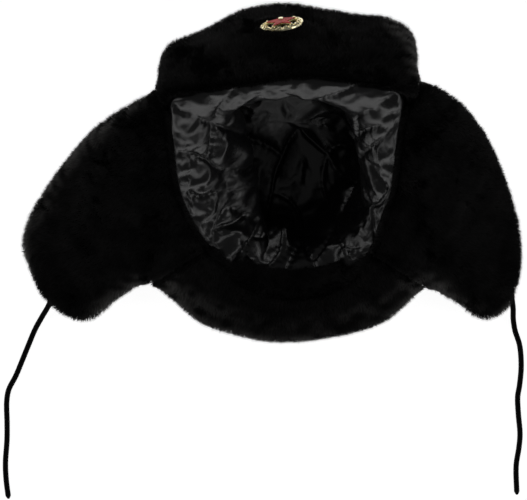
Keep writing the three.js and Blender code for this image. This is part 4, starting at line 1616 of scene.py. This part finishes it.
    def lay_uv(self, mesh: bpy.types.Mesh, chart: Chart) -> None:
        """Maps the cloth by bearing and run, in metres, with no face across the joint."""
        corner = np.empty(len(mesh.loops), np.int32)
        mesh.loops.foreach_get("vertex_index", corner)
        starts = np.empty(len(mesh.polygons), np.int32)
        mesh.polygons.foreach_get("loop_start", starts)
        totals = np.empty(len(mesh.polygons), np.int32)
        mesh.polygons.foreach_get("loop_total", totals)
        first = np.repeat(chart.bearing[corner[starts]], totals)
        bearing = chart.bearing[corner]
        bearing = bearing + 2 * math.pi * np.round((first - bearing) / (2 * math.pi))
        places = np.stack([bearing * self.half_width, chart.run[corner]], axis=1)
        mesh.uv_layers.new(name="UVMap").data.foreach_set("uv", places.astype(np.float32).ravel())

    @staticmethod
    def weigh(holder: bpy.types.Object, name: str, weights: np.ndarray) -> str:
        """Stores weights as a vertex group of the object, and returns the group's name."""
        group = holder.vertex_groups.new(name=name)
        rounded = weights.round(1)
        for level in np.unique(rounded):
            if level > 0:
                group.add(np.flatnonzero(rounded == level).tolist(), float(level), "REPLACE")
        return group.name

    def settle(self, mesh: bpy.types.Mesh, held: np.ndarray) -> bpy.types.Mesh:
        """Lets the loose satin between the seams buckle, by cloth simulation.

        Args:
            mesh: The shaped lining, used up here.
            held: How firmly each point is held.

        Returns:
            The settled mesh.
        """
        start = coordinates(mesh)
        calm = stored(mesh, "calm")
        holder = bpy.data.objects.new("lining_cloth", mesh)
        bpy.context.scene.collection.objects.link(holder)
        cloth = holder.modifiers.new("cloth", "CLOTH")
        satin = cloth.settings
        satin.quality = self.quality
        satin.mass = self.mass
        satin.tension_stiffness = satin.compression_stiffness = self.stiffness
        satin.shear_stiffness = self.shear
        satin.bending_stiffness = self.bending
        satin.tension_damping = satin.compression_damping = satin.shear_damping = self.damping
        satin.air_damping = self.air_damping
        satin.vertex_group_mass = self.weigh(holder, "held", held)
        satin.vertex_group_shrink = self.weigh(holder, "calm", calm)
        satin.shrink_min = -self.growth
        satin.shrink_max = -self.calm_growth
        satin.use_pressure = True
        satin.uniform_pressure_force = self.pressure
        satin.effector_weights.gravity = 0.0
        cloth.collision_settings.use_collision = False
        cloth.point_cache.frame_start = 1
        cloth.point_cache.frame_end = self.frames
        scene = bpy.context.scene
        for frame_number in range(1, self.frames + 1):
            scene.frame_set(frame_number)
        settled = as_plain(holder)
        scene.frame_set(1)
        bpy.data.meshes.remove(mesh)
        moved = coordinates(settled) - start
        size = np.linalg.norm(moved, axis=1, keepdims=True)
        put_coordinates(settled, start + moved * np.minimum(1.0, self.most_moved / np.maximum(size, 1e-9)))
        log.info("lining: settled by up to %.1f mm", float(size.max() / MM))
        return settled

    def dress(self, finish: bpy.types.Material) -> None:
        """Builds the lining in place of its plain solid.

        Args:
            finish: The satin.
        """
        mesh = self.smooth_shell()
        held, seams = self.shape(mesh)
        mesh = self.settle(mesh, held)
        mesh = baked(mesh, lambda holder: refine(holder, 1))
        self.stitch(mesh, seams)
        mesh.shade_smooth()
        piece = link_piece("lining_satin", mesh, finish)
        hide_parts(Node.LINING.value)
        log.info("lining: %d faces", len(mesh.polygons))


# The quilting seams and the main folds of the satin, as routes in millimetres
QUILT_SEAMS = (
    ((-76, 49, 168), (-71, 45, 166), (-64, 44, 163), (-59, 41, 158), (-53, 39, 150), (-47, 37, 140)),
    ((-47, 37, 140), (-40, 35, 132), (-32, 34, 108), (-25, 32, 85), (-19, 32, 60)),
    ((-47, 37, 140), (-43, 45, 157), (-39, 50, 167), (-30, 59, 177), (-26, 65, 178)),
    ((-47, 37, 140), (-48, 29, 132), (-49, 19, 126), (-51, 10, 118)),
    ((-51, 10, 118), (-57, 12, 127), (-65, 14, 134), (-73, 15, 137)),
    ((-51, 10, 118), (-47, 6, 109), (-42, 4, 94), (-38, -2, 84), (-34, -11, 73), (-31, -14, 67)),
    ((-38, 4, 89), (-28, 4, 70), (-19, 5, 40)),
    ((-31, -14, 67), (-36, -24, 69), (-41, -30, 73), (-46, -40, 77), (-48, -47, 76)),
    ((-67, -15, 111), (-61, -18, 104), (-56, -19, 98), (-50, -15, 94), (-41, -13, 84), (-31, -14, 67)),
    ((-33, -26, 65), (-26, -29, 52), (-19, -33, 41), (-13, -39, 28)),
    ((-48, -45, 78), (-41, -42, 73), (-33, -40, 64), (-26, -35, 51), (-21, -31, 45)),
    ((-13, -39, 28), (-13, -44, 31), (-17, -50, 41), (-22, -59, 52), (-27, -66, 59), (-31, -73, 58)),
    ((-17, -50, 41), (-9, -51, 36), (-2, -50, 33), (3, -45, 30), (8, -39, 23)),
    ((8, -39, 23), (10, -51, 32), (8, -62, 40), (3, -71, 46), (-5, -77, 49), (-17, -82, 50)),
    ((-22, -59, 52), (-22, -69, 54), (-21, -78, 53)),
    ((95, 58, 173), (90, 54, 173), (83, 52, 171), (80, 46, 163), (73, 46, 160), (69, 44, 156), (65, 42, 141)),
    ((65, 42, 141), (67, 36, 121), (68, 28, 105), (70, 21, 101), (72, 16, 101)),
    ((72, 16, 101), (75, 18, 125), (80, 21, 135), (86, 26, 145), (90, 30, 150), (96, 37, 158)),
    ((90, 31, 151), (82, 35, 151), (75, 33, 146), (69, 31, 126)),
    ((72, 16, 101), (76, 10, 104), (80, 2, 115), (85, -5, 115), (93, -13, 113)),
    ((72, 16, 101), (72, 7, 82), (74, -4, 80), (77, -17, 81), (80, -26, 92)),
    ((80, -26, 92), (85, -25, 99), (90, -20, 104), (93, -13, 113)),
    ((80, -26, 92), (81, -35, 87), (82, -43, 83), (84, -51, 78)),
    ((84, -51, 78), (88, -47, 85), (92, -40, 93), (94, -30, 101)),
    ((86, 41, 159), (91, 43, 162), (97, 44, 163)),
    ((33, 54, 163), (40, 55, 167), (48, 57, 173), (55, 59, 178), (60, 61, 179), (66, 65, 180)),
    ((23, 41, 34), (28, 35, 29), (36, 28, 28), (47, 19, 26)),
    ((47, 19, 26), (50, 24, 32), (57, 27, 37), (65, 23, 45)),
    ((47, 19, 26), (52, 8, 28), (60, -1, 33), (69, -5, 55)),
    ((47, 19, 26), (43, 8, 22), (42, -6, 19), (46, -19, 26), (53, -37, 39)),
    ((23, 41, 34), (15, 32, 27), (9, 18, 20), (3, 5, 13), (0, -12, 15)),
    ((-19, 32, 32), (-10, 30, 27), (0, 25, 23), (9, 18, 20)),
    ((0, -12, 15), (8, -14, 14), (17, -20, 15), (24, -32, 22), (25, -53, 35)),
    ((0, -12, 15), (-3, -24, 17), (-5, -38, 24), (-2, -50, 33)),
    ((57, -30, 40), (63, -21, 43), (67, -12, 44), (70, -4, 68)),
    ((57, -30, 40), (65, -30, 53), (73, -29, 73), (78, -26, 85)),
    ((57, -30, 40), (53, -38, 40), (54, -50, 53), (59, -60, 60), (65, -72, 58)),
    ((53, -38, 40), (48, -50, 45), (41, -61, 47), (33, -71, 48)),
    ((59, -60, 60), (66, -62, 64), (74, -61, 68), (82, -59, 70)),
    ((25, -53, 35), (33, -71, 48), (38, -86, 45)),
    ((25, -53, 35), (15, -71, 44), (10, -88, 44)),
)
FOLDS = tuple(Fold(route, rise, half) for rise, half, routes in (
    (2.0, 2.5, (
        ((10, 60, 53), (15, 55, 47), (19, 49, 42), (23, 42, 35)),
        ((40, 56, 52), (33, 52, 47), (27, 47, 42), (23, 42, 35)),
    )),
    (1.6, 2.5, (((-17, 35, 33), (-14, 43, 38), (-11, 50, 45), (-6, 55, 49)),)),
    (2.4, 3.5, (((-39, 26, 112), (-41, 18, 110), (-44, 8, 106)),)),
    (2.0, 3.0, (((-22, 25, 60), (-24, 14, 70), (-26, 6, 68)),)),
    (2.0, 3.5, (((-16, 6, 18), (-15, -6, 17), (-15, -19, 21)),)),
    (2.2, 2.6, (
        ((-58, -13, 106), (-49, -11, 95), (-41, -13, 84), (-34, -16, 70)),
        ((-39, -23, 73), (-44, -30, 76), (-48, -39, 80), (-50, -47, 78)),
    )),
    (1.8, 3.0, (
        ((-36, -47, 66), (-28, -46, 56), (-20, -50, 45)), ((-40, -70, 62), (-34, -61, 65), (-28, -56, 59)),
    )),
    (1.6, 2.5, (((-77, 47, 166), (-70, 43, 163), (-64, 41, 159)),)),
    (1.5, 4.0, (((36, 41, 37), (41, 33, 32), (46, 25, 30)),)),
    (1.5, 3.0, (((8, -41, 24), (11, -48, 30), (13, -55, 34)),)),
    (1.5, 2.5, (((90, 47, 167), (95, 51, 170)),)),
    (-1.5, 1.7, (
        ((-84, 41, 160), (-73, 37, 158), (-66, 35, 154)), ((-66, 32, 151), (-62, 35, 152), (-59, 40, 156)),
        ((-82, 25, 146), (-72, 23, 144), (-65, 22, 141)),
    )),
    (-1.3, 1.6, (((-71, 16, 138), (-63, 17, 136), (-59, 19, 134)),)),
    (-1.5, 1.7, (((-68, 14, 135), (-61, 13, 131), (-53, 11, 121)),)),
    (-1.3, 1.6, (
        ((-76, 6, 129), (-70, 6, 128), (-64, 7, 126)), ((-66, -5, 115), (-61, -4, 114), (-57, -2, 111)),
    )),
    (-1.5, 1.8, (((-60, -8, 111), (-54, -9, 105), (-46, -3, 96), (-43, 0, 94)),)),
    (-1.3, 1.6, (((-69, -18, 107), (-63, -19, 104), (-57, -18, 100)),)),
    (-1.4, 1.7, (
        ((-46, -48, 74), (-41, -53, 69), (-36, -50, 66)), ((-45, -56, 70), (-38, -52, 67), (-32, -48, 61)),
        ((-43, -42, 74), (-36, -43, 68), (-29, -41, 58)),
    )),
    (-1.6, 1.6, (
        ((20, 69, 184), (16, 64, 182), (11, 59, 174)), ((26, 68, 184), (23, 62, 180), (24, 57, 171)),
        ((29, 71, 183), (29, 63, 182), (27, 58, 173)),
    )),
    (-1.4, 1.6, (((17, 69, 183), (12, 63, 181), (8, 58, 174)),)),
    (-1.3, 1.7, (
        ((84, -7, 111), (89, -13, 109)), ((80, -25, 93), (83, -27, 96), (87, -25, 101)),
    )),
    (-1.2, 1.8, (
        ((7, -8, 13), (13, -6, 12), (18, -2, 14)), ((8, -18, 15), (13, -16, 13), (20, -17, 14)),
    )),
) for route in routes)

# The ties' middle lines, in millimetres, in the frame that the part was drawn in
TIE_RIGHT_ROUTE = (
    (-184.4, -93, 12.5), (-188, -101, 11), (-192.6, -109.5, 8), (-198, -118, 4.7), (-203.7, -128, 2.7),
    (-209.2, -141, 2.7), (-214.5, -154, 2.7), (-220.3, -168, 2.7), (-226.4, -180, 2.7), (-228.1, -190, 2.7),
    (-227.8, -209, 2.7), (-227.9, -223, 2.7), (-229.2, -243, 2.7), (-228.6, -257, 2.7), (-226.5, -273.5, 2.7),
)
TIE_LEFT_ROUTE = (
    (202.3, -92, 12.5), (204.3, -101, 11), (205.8, -110, 8), (206.4, -119, 4.7), (208.2, -129, 2.7),
    (212.2, -142, 2.7), (213.5, -160, 2.7), (212.1, -176, 2.7), (210.5, -186, 2.7), (211.1, -201, 2.7),
    (212.5, -218, 2.7), (211.5, -230, 2.7), (209.2, -245, 2.7), (209.8, -270, 2.7),
)


@dataclass
class Ushanka:
    """The whole hat, from its pieces."""

    ties: tuple = (
        TieCord(Node.TIE_CORD_RIGHT, TIE_RIGHT_ROUTE),
        TieCord(Node.TIE_CORD_LEFT, TIE_LEFT_ROUTE),
    )
    furs: tuple = (
        CrownFur(Node.CROWN, Pile(wool=60000, guards=9000, seed=11), fade_to=10 * MM),
        FurPiece(Node.VISOR, Pile(wool=80000, guards=14000, seed=12), fringe_reach=2.5 * MM,
                 fringe_length=3 * MM),
        FurPiece(Node.EAR_FLAP_RIGHT, Pile(wool=106000, guards=20000, seed=13)),
        FurPiece(Node.NECK_FLAP, Pile(wool=64000, guards=11000, seed=14), fringe_reach=9 * MM,
                 fringe_length=9 * MM),
        FurPiece(Node.EAR_FLAP_LEFT, Pile(wool=106000, guards=20000, seed=15)),
        NapeFringe(Node.LINING, Pile(wool=14000, guards=5000, seed=16, lean=math.radians(48))),
    )
    lining: QuiltedLining = field(default_factory=QuiltedLining)

    def dress_ties(self) -> None:
        """Builds both ties."""
        finish = CordFinish().make()
        for tie in self.ties:
            tie.dress(finish)

    def dress_fur(self) -> None:
        """Builds every fur piece."""
        backing, pile = BackingFinish().make(), PileFinish().make()
        for fur in self.furs:
            fur.dress(backing, pile)

    def dress_lining(self) -> None:
        """Builds the lining."""
        self.lining.dress(SatinFinish().make())

    def dress_badge(self) -> None:
        """Gives the badge's two nodes their finishes."""
        for node, finish in ((Node.BADGE, GiltFinish().make()), (Node.BADGE_STAR, EnamelFinish().make())):
            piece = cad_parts[node.value]
            for held in piece.material_slots:
                held.material = finish
            if not piece.material_slots:
                piece.data.materials.append(finish)
            log.info("%s: finished", node.value)


def main() -> None:
    """Builds the view and the hat, and notes the size of the hat's fur and lining."""
    studio = Studio()
    studio.add_camera()
    hat = Ushanka()
    hat.dress_ties()
    studio.add_lamps()
    studio.add_floor()
    studio.set_colours()
    hat.dress_fur()
    hat.dress_lining()
    hat.dress_badge()


if __name__ == "__main__":
    main()
